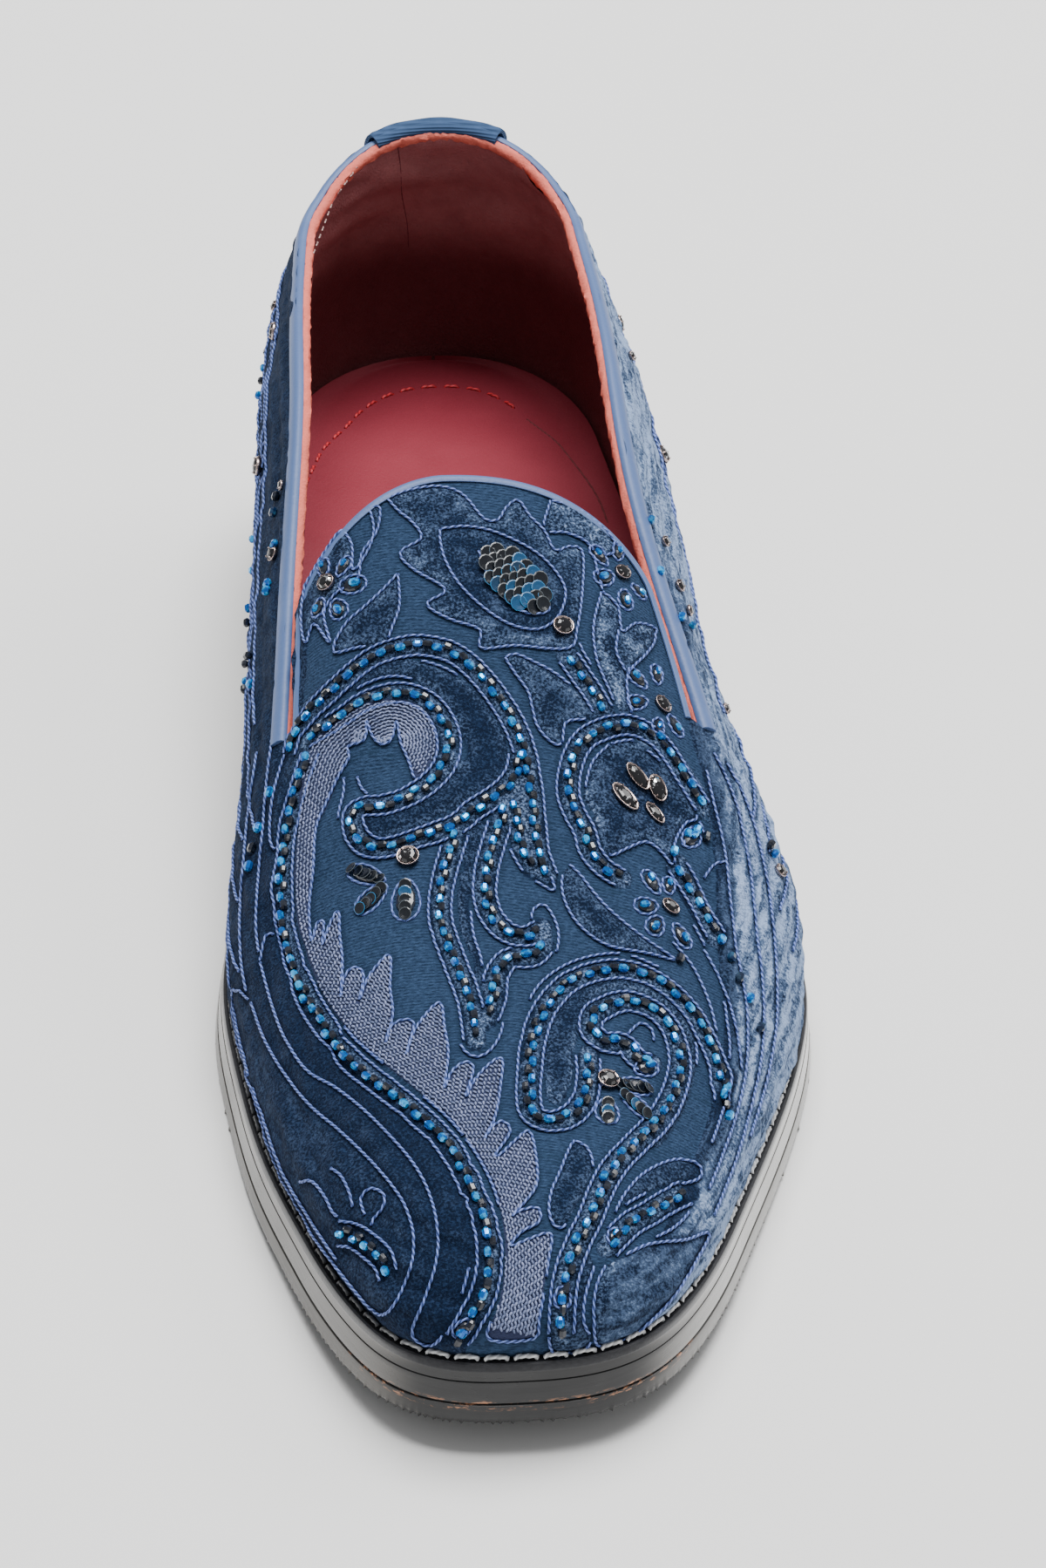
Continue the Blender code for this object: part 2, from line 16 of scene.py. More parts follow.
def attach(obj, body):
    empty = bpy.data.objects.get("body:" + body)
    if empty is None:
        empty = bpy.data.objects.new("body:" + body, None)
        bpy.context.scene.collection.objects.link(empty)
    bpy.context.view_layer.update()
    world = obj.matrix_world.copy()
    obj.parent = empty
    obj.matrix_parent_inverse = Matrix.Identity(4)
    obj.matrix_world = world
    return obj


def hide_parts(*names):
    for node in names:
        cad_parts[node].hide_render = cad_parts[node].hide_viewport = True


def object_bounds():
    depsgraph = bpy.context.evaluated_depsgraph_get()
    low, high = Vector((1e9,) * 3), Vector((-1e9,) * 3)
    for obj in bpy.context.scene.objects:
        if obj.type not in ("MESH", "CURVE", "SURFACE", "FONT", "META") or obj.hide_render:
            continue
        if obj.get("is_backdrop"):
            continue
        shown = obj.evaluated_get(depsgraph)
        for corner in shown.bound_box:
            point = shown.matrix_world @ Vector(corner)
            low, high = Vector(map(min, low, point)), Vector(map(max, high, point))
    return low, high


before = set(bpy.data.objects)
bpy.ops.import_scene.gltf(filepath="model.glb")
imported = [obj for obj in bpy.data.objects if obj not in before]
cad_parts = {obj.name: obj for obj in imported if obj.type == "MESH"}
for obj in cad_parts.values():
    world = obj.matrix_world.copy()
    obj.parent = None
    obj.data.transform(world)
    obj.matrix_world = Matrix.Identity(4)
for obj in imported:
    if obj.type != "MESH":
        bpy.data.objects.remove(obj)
cad_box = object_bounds()
chance = np.random.default_rng(7)
print("solids", len(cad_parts))

# %% [markdown]
# ## A pencil for materials
# A finish is a small network of nodes. Writing it as sums and products keeps it readable, so a wire wraps
# one socket and turns each operator into a Math node. Colours go through a Mix node instead.


# %% Wires and finishes
class Wire:
    """The output of a node. Arithmetic on it adds Math nodes."""

    def __init__(self, finish, socket):
        self.finish, self.socket = finish, socket

    def maths(self, operation, *values):
        return self.finish.node("ShaderNodeMath", {"operation": operation}, dict(enumerate(values)))

    def __add__(self, other):
        return self.maths("ADD", self, other)

    def __sub__(self, other):
        return self.maths("SUBTRACT", self, other)

    def __rsub__(self, other):
        return self.maths("SUBTRACT", other, self)

    def __mul__(self, other):
        return self.maths("MULTIPLY", self, other)

    __radd__, __rmul__ = __add__, __mul__

    def sine(self):
        return self.maths("SINE", self)

    def between(self, low, high):
        """0 below low, 1 above high, and a soft step from one to the other."""
        settings = {"interpolation_type": "SMOOTHSTEP"}
        values = {"Value": self, "From Min": low, "From Max": high}
        return self.finish.node("ShaderNodeMapRange", settings, values)


class Finish:
    """A material. Its constants go on the shader's sockets, and node() adds any other node."""

    def __init__(self, name, **constants):
        self.material = bpy.data.materials.new(name)
        self.material.use_nodes = True
        self.tree = self.material.node_tree
        self.shader = self.tree.nodes["Principled BSDF"]
        self.put(self.shader, {key.replace("_", " "): value for key, value in constants.items()})

    def put(self, node, values):
        for key, value in values.items():
            socket = node.inputs[key]
            if isinstance(value, Wire):
                self.tree.links.new(value.socket, socket)
            elif isinstance(value, tuple) and socket.type == "RGBA":
                socket.default_value = (*value, 1.0)
            else:
                socket.default_value = value

    def node(self, kind, settings, values, output=0):
        made = self.tree.nodes.new(kind)
        for key, value in settings.items():
            setattr(made, key, value)
        self.put(made, values)
        return Wire(self, made.outputs[output])

    def place(self, *stretch):
        """Object coordinates in millimetres, stretched along each axis."""
        spot = self.node("ShaderNodeTexCoord", {}, {}, "Object")
        scale = tuple(1000.0 * share for share in stretch or (1.0, 1.0, 1.0))
        return self.node("ShaderNodeVectorMath", {"operation": "MULTIPLY"}, {0: spot, 1: scale})

    def axis(self, name, *stretch):
        return self.node("ShaderNodeSeparateXYZ", {}, {0: self.place(*stretch)}, name)

    def noise(self, size, detail=2.0, rough=0.5, stretch=()):
        """Noise from 0 to 1 whose lumps are about size millimetres across."""
        values = {"Vector": self.place(*stretch), "Scale": 1.0 / size}
        values.update({"Detail": detail, "Roughness": rough})
        return self.node("ShaderNodeTexNoise", {}, values)

    def trait(self, name):
        """A number stored on the mesh's points."""
        return self.node("ShaderNodeAttribute", {"attribute_name": name}, {}, "Fac")

    def flow(self, long, wide, detail=2.0):
        """Noise drawn out along the shoe, in streaks long by wide millimetres that follow the cloth."""
        spot = self.node("ShaderNodeCombineXYZ", {}, {"X": self.trait("run") * (1 / long)})
        self.put(spot.socket.node, {"Y": self.trait("girth") * (1 / wide), "Z": self.trait("side") * 7.0})
        return self.node("ShaderNodeTexNoise", {}, {"Vector": spot, "Scale": 1.0, "Detail": detail})

    def mix(self, share, low, high):
        values = {"Factor": share, 6: low, 7: high}
        return self.node("ShaderNodeMix", {"data_type": "RGBA"}, values, 2)

    def wear(self, colour=None, roughness=None, height=None, depth=0.0003, normal=None):
        """Feeds what varies over the surface to the shader. height is a bump of depth metres."""
        if height is not None:
            values = {"Height": height, "Distance": depth, "Strength": 1.0}
            normal = self.node("ShaderNodeBump", {}, values)
        fed = {"Base Color": colour, "Roughness": roughness, "Normal": normal}
        self.put(self.shader, {key: value for key, value in fed.items() if value is not None})
        return self.material


# %% [markdown]
# ## Meshes and pieces
# Every visible thing is a mesh made from points and faces. These helpers make and mend meshes, keep
# numbers on their points, and turn a mesh into a named piece of the shoe.


# %% Meshes and pieces
def new_mesh(points, faces):
    mesh = bpy.data.meshes.new("piece")
    mesh.from_pydata(points, [], faces)
    return mesh


def mend(mesh, merge=None, outward=False, sharp=None):
    """Merges points, drops loose ones, turns faces outwards and shades smooth up to a sharp angle."""
    shape = bmesh.new()
    shape.from_mesh(mesh)
    if merge:
        bmesh.ops.remove_doubles(shape, verts=shape.verts, dist=merge)
        bmesh.ops.delete(shape, geom=[v for v in shape.verts if not v.link_faces], context="VERTS")
    if outward:
        bmesh.ops.recalc_face_normals(shape, faces=shape.faces)
    shape.to_mesh(mesh)
    shape.free()
    mesh.shade_smooth()
    if sharp:
        mesh.set_sharp_from_angle(angle=math.radians(sharp))
    return mesh


def tube_faces(count, size, start=0):
    """Quads between count closed rings of size points each, and then a cap at either end."""
    i, j = np.meshgrid(np.arange(count - 1), np.arange(size), indexing="ij")
    after = (j + 1) % size
    quads = [i * size + j, i * size + after, (i + 1) * size + after, (i + 1) * size + j]
    cap = [start + k for k in range(size)]
    faces = (np.stack(quads, -1).reshape(-1, 4) + start).tolist()
    return faces + [cap[::-1], [(count - 1) * size + k for k in cap]]


def coordinates(mesh):
    values = np.empty(len(mesh.vertices) * 3, np.float32)
    mesh.vertices.foreach_get("co", values)
    return values.reshape(-1, 3).astype(float)


def move_points(mesh, points):
    mesh.vertices.foreach_set("co", points.ravel())
    mesh.update()


def normals(mesh):
    values = np.empty(len(mesh.vertices) * 3, np.float32)
    mesh.vertex_normals.foreach_get("vector", values)
    return values.reshape(-1, 3).astype(float)


def trait(mesh, label, values=None):
    """Reads a number per point, or writes it."""
    if values is not None:
        kept = mesh.attributes.new(label, "FLOAT", "POINT")
        kept.data.foreach_set("value", np.asarray(values, np.float32))
        return values
    found = np.empty(len(mesh.vertices), np.float32)
    mesh.attributes[label].data.foreach_get("value", found)
    return found.astype(float)


def tree_of(mesh):
    return BVHTree.FromPolygons(coordinates(mesh), [tuple(face.vertices) for face in mesh.polygons])


def wobble(points, scale):
    """Smooth noise from -1 to 1, one number per point."""
    return np.array([noise.noise(Vector(point)) for point in points * np.array(scale)])


def piece(name, mesh, finish, slot, *stands_for):
    """A visible piece: its finish and the solids that it stands for. The argument slot is not used."""
    mesh.name = name
    made = bpy.data.objects.new(name, mesh)
    bpy.context.scene.collection.objects.link(made)
    mesh.materials.append(finish.material)
    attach(made, "root")
    if stands_for:
        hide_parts(*stands_for)
    print(name, "triangles", sum(len(face.vertices) - 2 for face in mesh.polygons))


# %% [markdown]
# ## The last
# Everything on a shoe hangs on the last, the foot-shaped block that it was made over. The solids were
# lofted from tables of its plan, its ridge and its topline. Here the same tables give points as close
# together as cloth needs. A station walks the sole's edge from heel to toe, a turn climbs the arch.

# %% Sizes of the shoe
SOLE_LENGTH, SOLE_WIDTH = 0.306, 0.1118
HEEL_HEIGHT, TOE_SPRING, HEEL_LENGTH = 0.0185, 0.0070, 0.074
OUTSOLE_THICK, MIDSOLE_THICK, WELT_THICK, JOINT_GAP = 0.0040, 0.0042, 0.0034, 0.0003
WELT_STEP, WELT_MARGIN, WELT_LAP, INSOLE_RISE = 0.0016, 0.0020, 0.0005, 0.0036
UPPER_WALL, UPPER_BULGE, COUNTER_BULGE = 0.0022, 0.0016, 0.0020
BACK_HEIGHT, THROAT_HEIGHT, TONGUE_BOW = 0.0605, 0.0530, 0.0178
SLIT_LENGTH, SLIT_GAP, THROAT_SHARE = 0.0235, 0.0036, 0.484
WAIST_END, BALL_END, SPRING_POWER = 0.625, 0.715, 1.7
BOW_START, BOW_END, BOW_SQUARE = 0.30, 0.86, (1.5, 2.0)
STACK = OUTSOLE_THICK + MIDSOLE_THICK + WELT_THICK + 3 * JOINT_GAP
PLAN = (
    # along, inner, outer
    (0.00, 0.268, 0.329),
    (0.10, 0.298, 0.337),
    (0.20, 0.324, 0.357),
    (0.32, 0.344, 0.376),
    (0.44, 0.374, 0.394),
    (0.55, 0.411, 0.448),
    (0.64, 0.441, 0.489),
    (0.72, 0.430, 0.456),
    (0.80, 0.402, 0.381),
    (0.88, 0.351, 0.294),
    (0.95, 0.315, 0.228),
    (1.00, 0.316, 0.201),
)
RIDGE = (
    # along, height, shift, roundness, margin
    (0.00, 1.75, 0.012, 2.15, 0.60),
    (0.15, 1.54, -0.012, 2.07, 0.60),
    (0.30, 1.26, -0.044, 2.60, 0.60),
    (0.42, 1.13, -0.055, 2.78, 0.75),
    (0.50, 1.08, -0.062, 2.65, 0.95),
    (0.60, 0.90, -0.076, 2.45, 1.00),
    (0.70, 0.69, -0.080, 2.15, 1.00),
    (0.80, 0.545, -0.083, 2.19, 1.00),
    (0.88, 0.435, -0.095, 2.20, 1.00),
    (0.95, 0.36, -0.105, 2.25, 1.00),
    (1.00, 0.31, -0.110, 2.30, 0.95),
)
TOPLINE = (
    # along, inner, outer
    (0.00, 1.042, 1.042),
    (0.08, 0.930, 0.962),
    (0.20, 0.862, 0.895),
    (0.32, 0.815, 0.862),
    (0.42, 0.740, 0.790),
    (0.50, 0.684, 0.700),
    (0.60, 0.570, 0.563),
)
HEEL_END, BREAST, CORNER, NOTCH, TOE_START, LAST = 9, 12, 20, 25, 35, 46
HEEL_CAP, TOE_CAP, HEEL_ROUNDNESS, TOE_SQUARENESS = 0.138, 0.125, 2.15, 2.65
STRETCHES = (HEEL_END, BREAST, CORNER, NOTCH, TOE_START)
ALONGS = (HEEL_CAP, HEEL_LENGTH / SOLE_LENGTH, THROAT_SHARE)
ALONGS += (THROAT_SHARE + SLIT_LENGTH / SOLE_LENGTH, 1 - TOE_CAP)
INNER, OUTER, NUDGE, RIDGE_SPAN = -1, 1, 0.02, (0.124, 0.900)


# %% Curves through the tables
def spline(rows, column):
    """A natural cubic through one column of a table, as a function of its first column."""
    x = np.array([row[0] for row in rows])
    y = np.array([row[column] for row in rows])
    step, slope = np.diff(x), np.diff(y) / np.diff(x)
    system, right = np.eye(len(x)), np.zeros(len(x))
    for i in range(1, len(x) - 1):
        system[i, i - 1 : i + 2] = step[i - 1], 2 * (step[i - 1] + step[i]), step[i]
        right[i] = 6 * (slope[i] - slope[i - 1])
    bend = np.linalg.solve(system, right)

    def value(at):
        i = np.clip(np.searchsorted(x, at) - 1, 0, len(x) - 2)
        before, after, width = at - x[i], x[i + 1] - at, step[i]
        return (
            (bend[i] * after**3 + bend[i + 1] * before**3) / (6 * width)
            + (y[i] / width - bend[i] * width / 6) * after
            + (y[i + 1] / width - bend[i + 1] * width / 6) * before
        )

    return value


plan_inner, plan_outer = spline(PLAN, 1), spline(PLAN, 2)
ridge_share, ridge_shift, arch_roundness, margin_share = (spline(RIDGE, k) for k in (1, 2, 3, 4))
topline_inner, topline_outer = spline(TOPLINE, 1), spline(TOPLINE, 2)


def ease(value):
    """0 up to 0, 1 from 1, and a soft step from one to the other."""
    value = np.clip(value, 0.0, 1.0)
    return value * value * (3 - 2 * value)


def unit(vectors):
    return vectors / np.maximum(np.linalg.norm(vectors, axis=-1, keepdims=True), 1e-12)


def run_of(path):
    """How far along a path each of its points lies."""
    return np.concatenate([[0], np.cumsum(np.linalg.norm(np.diff(path, axis=0), axis=1))])


def share_of(y):
    return 0.5 - y / SOLE_LENGTH


def tread_height(y):
    """Height of the outsole's underside: level on the heel, down the waist, flat at the ball, then up."""
    along = share_of(y)
    waist = HEEL_HEIGHT * ease((WAIST_END - along) / (WAIST_END - HEEL_LENGTH / SOLE_LENGTH))
    return waist + TOE_SPRING * (np.clip(along - BALL_END, 0, 1) / (1 - BALL_END)) ** SPRING_POWER


# %% Points on the last
def place_of(station):
    """Share of the length and share of the width at a station."""
    heel = np.clip(0.5 * np.pi * station / HEEL_END, 0, 0.5 * np.pi)
    toe = np.clip(0.5 * np.pi * (station - TOE_START) / (LAST - TOE_START), 0, 0.5 * np.pi)
    round_heel, round_toe = 2 / HEEL_ROUNDNESS, 2 / TOE_SQUARENESS
    along = np.interp(station, STRETCHES, ALONGS)
    along = np.where(station < HEEL_END, HEEL_CAP * (1 - np.cos(heel) ** round_heel), along)
    along = np.where(station > TOE_START, 1 - TOE_CAP * (1 - np.sin(toe) ** round_toe), along)
    toe_cap = np.where(station > TOE_START, np.clip(np.cos(toe), 0, 1) ** round_toe, 1.0)
    return along, np.where(station < HEEL_END, np.sin(heel) ** round_heel, toe_cap)


def raw_edge(station, side):
    along, cap = place_of(station)
    inner, outer = plan_inner(along), plan_outer(along)
    return 0.5 * (outer - inner) + side * 0.5 * (outer + inner) * cap


WHOLE = np.arange(LAST + 1.0)
EDGE_LOW, EDGE_HIGH = raw_edge(WHOLE, INNER).min(), raw_edge(WHOLE, OUTER).max()


def across(share):
    return SOLE_WIDTH * (share - 0.5 * (EDGE_LOW + EDGE_HIGH)) / (EDGE_HIGH - EDGE_LOW)


def folded(station, side):
    """Past either end the walk goes on along the other side."""
    beyond = (station < 0) | (station > LAST)
    station = np.abs(station)
    station = np.where(station > LAST, 2 * LAST - station, station)
    return station, np.where(beyond, -side, side)


def edge_point(station, side):
    station, side = folded(station, side)
    along, _ = place_of(station)
    return np.stack([across(raw_edge(station, side)), SOLE_LENGTH * (0.5 - along)], -1)


def inset_edge(station, side, inset):
    """The sole's edge in plan moved in by a length, and its outward normal."""
    ahead = edge_point(station + NUDGE, side) - edge_point(station - NUDGE, side)
    normal = unit(np.stack([-ahead[..., 1], ahead[..., 0]], -1) * np.asarray(side)[..., None])
    return edge_point(station, side) - normal * np.asarray(inset)[..., None], normal


def feather_inset(station):
    """How far in from the sole's edge the upper's outside meets the welt."""
    return WELT_STEP + WELT_MARGIN * margin_share(place_of(station)[0])


def soft_clamp(value, low, high, blend):
    up = 0.5 * (value + low + np.sqrt((value - low) ** 2 + blend**2))
    return 0.5 * (up + high - np.sqrt((up - high) ** 2 + blend**2))


def lean_and_rise(turn, along):
    power, quarter = 2 / arch_roundness(along), 0.5 * np.pi * np.clip(turn, 0, 1)
    return 1 - np.cos(quarter) ** power, np.sin(quarter) ** power


def skin(station, side, turn):
    """Points on the last, which the upper's outside follows."""
    station, side = folded(station, side)
    side = np.where(turn > 1, -side, side)
    turn = np.clip(np.where(turn > 1, 2 - turn, turn), 0, 1)
    inset = feather_inset(station)
    foot, normal = inset_edge(station, side, inset)
    across_from, _ = inset_edge(station, -side, inset)
    along = 0.5 * (share_of(foot[..., 1]) + share_of(across_from[..., 1]))
    top_along = soft_clamp(along, *RIDGE_SPAN, 0.030)
    top = np.stack([across(ridge_shift(top_along)), SOLE_LENGTH * (0.5 - top_along)], -1)
    lean, rise = lean_and_rise(turn, along)
    at_back = ease((HEEL_CAP - along) / HEEL_CAP)
    swell = UPPER_BULGE + (COUNTER_BULGE - UPPER_BULGE) * at_back
    swell = swell * np.sin(np.pi * np.clip(rise / (0.75 - 0.30 * at_back), 0, 1))
    spot = foot + (top - foot) * lean[..., None] + normal * swell[..., None]
    low = tread_height(foot[..., 1]) + STACK
    ridge = THROAT_HEIGHT * ridge_share(np.clip(share_of(spot[..., 1]), 0, 1))
    ridge = ridge + tread_height(spot[..., 1]) + STACK
    return np.concatenate([spot, (low + (ridge - low) * rise)[..., None]], -1)


def skin_normal(station, side, turn):
    """Unit normals of the last, facing out. On the toe's last arch they are read short of the ridge."""
    turn = np.where(station > LAST - NUDGE, np.minimum(turn, 1 - 2 * NUDGE), turn)
    ahead = skin(station + NUDGE, side, turn) - skin(station - NUDGE, side, turn)
    up = skin(station, side, turn + NUDGE) - skin(station, side, turn - NUDGE)
    return unit(np.cross(up, ahead) * np.asarray(side)[..., None])


# %% The cut edges of the upper
def turn_at(station, side, height):
    """The turn at which an arch is a given height over the feather line, found by halving."""
    foot = skin(station, side, np.zeros_like(station))[..., 2]
    low, high = np.zeros_like(station), np.ones_like(station)
    for _ in range(22):
        middle = 0.5 * (low + high)
        under = skin(station, side, middle)[..., 2] - foot < height
        low, high = np.where(under, middle, low), np.where(under, high, middle)
    return 0.5 * (low + high)


def past_notch(rule, station, side, behind):
    """In front of the slit a row keeps its turn, and both sides come together at the toe."""
    if station.max() <= NOTCH:
        return behind
    notch = np.full_like(station, float(NOTCH))
    own, other = rule(notch, side), rule(notch, -side)
    ahead = own + 0.5 * (other - own) * ease((station - NOTCH) / (LAST - NOTCH))
    return np.where(station > NOTCH, ahead, behind)


def topline_turn(station, side, lift=0.0):
    """Turn of the quarter's cut edge, or lift metres above it."""
    along, _ = place_of(np.minimum(station, NOTCH))
    share = np.where(side < 0, topline_inner(along), topline_outer(along))
    behind = turn_at(np.minimum(station, float(NOTCH)), side, BACK_HEIGHT * share + lift)
    return past_notch(topline_turn, station, side, behind)


def slit_turn(station, side):
    """Turn of the tongue's edge along the slit."""
    held = np.minimum(station, float(NOTCH))
    low = topline_turn(held, side)
    length = np.linalg.norm(skin(held, side, low + 0.02) - skin(held, side, low), axis=-1)
    behind = np.minimum(low + 0.02 * SLIT_GAP / length, 0.95)
    return past_notch(slit_turn, station, side, behind)


def drawn_back(station, side, turn, slit):
    """The station moved back along the last, so that rows over the crown bow like the tongue's edge."""
    along, cap = place_of(station)
    start, _ = lean_and_rise(slit, along)
    lean, _ = lean_and_rise(turn, along)
    left = (1 - lean) / np.maximum(1 - start, 1e-6)
    fade = ease((along - BOW_START) / 0.15) * ease((BOW_END - along) / 0.30)
    square = np.where(side < 0, *BOW_SQUARE)
    back = TONGUE_BOW * fade * np.clip(1 - np.clip(left, 0, 1) ** square, 0, 1) ** (1 / square)
    moved = np.interp(along - back / SOLE_LENGTH, ALONGS, STRETCHES)
    plain = (cap < 1) | (station < CORNER) | (turn <= slit)
    return np.where(plain, station, moved)


def fine_stations(spacing, start=0, end=LAST):
    """Stations about spacing metres apart along the sole's edge, with every corner among them."""
    marks = [m for m in (0, *STRETCHES, LAST) if start <= m <= end]
    fine = []
    for low, high in zip(marks, marks[1:]):
        tries = np.linspace(low, high, 240)
        run = run_of(edge_point(tries, OUTER))
        count = max(int(math.ceil(run[-1] / spacing)), 2)
        fine.extend(np.interp(np.linspace(0, run[-1], count + 1)[:-1], run, tries))
    return np.array(fine + [float(end)])


print("sole's edge from heel to toe", len(fine_stations(0.001)), "mm")

# %% [markdown]
# ## The camera
# The camera stands where the photograph was taken from: above the toe, looking down at the shoe. It is
# turned to the one shoe and given a longer lens, which crops the view but keeps every angle in it.

# %% Place the camera
EYE = np.array([-0.07679, -0.63311, 0.49204])
PITCH, YAW, ROLL, FOCAL = 0.63271, 0.00724, -0.02962, 3091.6
PHOTO_MIDDLE = np.array([600.0, 899.5])
SHOE_MIDDLE = np.array([906.0, 896.0])
PHOTO_HEIGHT, SENSOR, CLOSER = 1799, 36.0, 1.52

forward = np.array([math.sin(YAW) * math.cos(PITCH), math.cos(YAW) * math.cos(PITCH), -math.sin(PITCH)])
level = np.array([math.cos(YAW), -math.sin(YAW), 0.0])
upright = np.cross(level, forward)
RIGHT = level * math.cos(ROLL) + upright * math.sin(ROLL)
UP = upright * math.cos(ROLL) - level * math.sin(ROLL)


def photo_rays(places):
    """Directions from the camera through places of the photograph."""
    offset = (np.asarray(places, float) - PHOTO_MIDDLE) / FOCAL
    return unit(forward + RIGHT * offset[:, :1] - UP * offset[:, 1:])


def to_photo(points):
    """Places of the photograph at which points in space are seen."""
    away = points - EYE
    depth = away @ forward
    shown = np.stack([away @ RIGHT, -(away @ UP)], -1) * FOCAL / depth[:, None]
    return PHOTO_MIDDLE + shown


look = photo_rays([SHOE_MIDDLE])[0]
sideways = unit(RIGHT - look * (RIGHT @ look))
camera_data = bpy.data.cameras.new("camera")
camera_data.sensor_width = SENSOR
camera_data.lens = SENSOR * FOCAL * CLOSER / PHOTO_HEIGHT
camera = bpy.data.objects.new("camera", camera_data)
turned = Matrix([sideways, np.cross(sideways, look), -look]).transposed().to_4x4()
turned.translation = Vector(EYE)
camera.matrix_world = turned
bpy.context.scene.collection.objects.link(camera)
bpy.context.scene.camera = camera
print("lens", round(camera_data.lens, 1))

# %% [markdown]
# ## Floor and light
# The shoe stands on plain pale grey. One broad soft light hangs overhead, as in a studio, a small one
# stands at the right and a weak one in front, and pale surroundings keep the dark inside readable.


# %% Set the floor and the lights
def box_light(name, spot, target, size, power):
    data = bpy.data.lights.new(name, "AREA")
    data.shape, data.size, data.energy = "SQUARE", size, power
    lamp = bpy.data.objects.new(name, data)
    lamp.location = spot
    aim = Vector(target) - Vector(spot)
    lamp.rotation_mode = "QUATERNION"
    lamp.rotation_quaternion = aim.to_track_quat("-Z", "Y")
    bpy.context.scene.collection.objects.link(lamp)


box_light("overhead", (0.15, 0.45, 2.80), (0, 0, 0), 1.7, 158.0)
box_light("key", (0.75, 0.35, 0.95), (0, 0, 0.03), 0.45, 3.2)
box_light("front", (0.30, -1.10, 0.80), (0, 0, 0.03), 0.40, 0.5)
world = bpy.data.worlds.new("studio")
world.use_nodes = True
surroundings = world.node_tree.nodes["Background"].inputs
surroundings["Color"].default_value = (0.83, 0.835, 0.845, 1.0)
surroundings["Strength"].default_value = 0.50
bpy.context.scene.world = world

reach = 6.0
corners = [(-reach, -reach, 0), (reach, -reach, 0), (reach, reach, 0), (-reach, reach, 0)]
floor_mesh = new_mesh(corners, [(0, 1, 2, 3)])
floor = bpy.data.objects.new("floor", floor_mesh)
bpy.context.scene.collection.objects.link(floor)
paper = Finish("studio_paper", Roughness=0.85, Specular_IOR_Level=0.1)
shade = paper.noise(60.0, 2.0)
floor_mesh.materials.append(paper.wear(paper.mix(shade, (0.830, 0.828, 0.820), (0.850, 0.848, 0.840))))
floor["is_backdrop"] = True

# %% [markdown]
# ## The cloth of the upper
# The upper is one skin over the last with a collar, two slits and a tongue. It is built as a fine grid of
# stations and turns, so that the edges of the velvet can be modelled and not painted. Each point keeps
# how far along the sole and how far up the arch it lies.


# %% The grid of the upper
def shell(spacing, wall, gap, crown, out):
    """The upper's skin, out metres off the last, open at the collar and along the slits."""
    points, faces, runs, girths, sides = [], [], [], [], []
    station = fine_stations(spacing)
    rows = wall + gap + crown + 1
    for side in (INNER, OUTER):
        start = sum(len(block) for block in points)
        sided = np.full_like(station, side)
        low, high = topline_turn(station, sided), slit_turn(station, sided)
        up = [low * i / wall for i in range(wall + 1)]
        up += [low + (high - low) * i / gap for i in range(1, gap)]
        up += [high + (1 - high) * i / crown for i in range(crown + 1)]
        turn = np.stack(up, 1)
        grid = np.repeat(station[:, None], rows, 1)
        sided = np.full_like(grid, side)
        moved = drawn_back(grid, sided, turn, high[:, None])
        spots = skin(moved, sided, turn) + out * skin_normal(moved, sided, turn)
        run = run_of(edge_point(station, OUTER)) * 1000
        points.append(spots.reshape(-1, 3))
        runs.append(np.repeat(run[:, None], rows, 1).ravel())
        girths.append(np.concatenate([run_of(arch) for arch in spots]) * 1000)
        sides.append(sided.ravel())
        c, r = np.meshgrid(np.arange(len(station) - 1), np.arange(rows - 1), indexing="ij")
        begins = station[c]
        there = (r < wall) | (begins >= NOTCH) | ((r >= wall + gap) & (begins >= CORNER))
        c, r = c[there], r[there]
        first = start + c * rows + r
        quad = [first, first + rows, first + rows + 1, first + 1]
        faces.append(np.stack(quad if side == INNER else quad[::-1], 1))
    mesh = new_mesh(np.concatenate(points), np.concatenate(faces).tolist())
    for label, values in (("run", runs), ("girth", girths), ("side", sides)):
        trait(mesh, label, np.concatenate(values))
    return mend(mesh, merge=3e-6)


cloth = shell(spacing=0.00082, wall=54, gap=4, crown=48, out=0.0)
print("cloth faces", len(cloth.polygons))
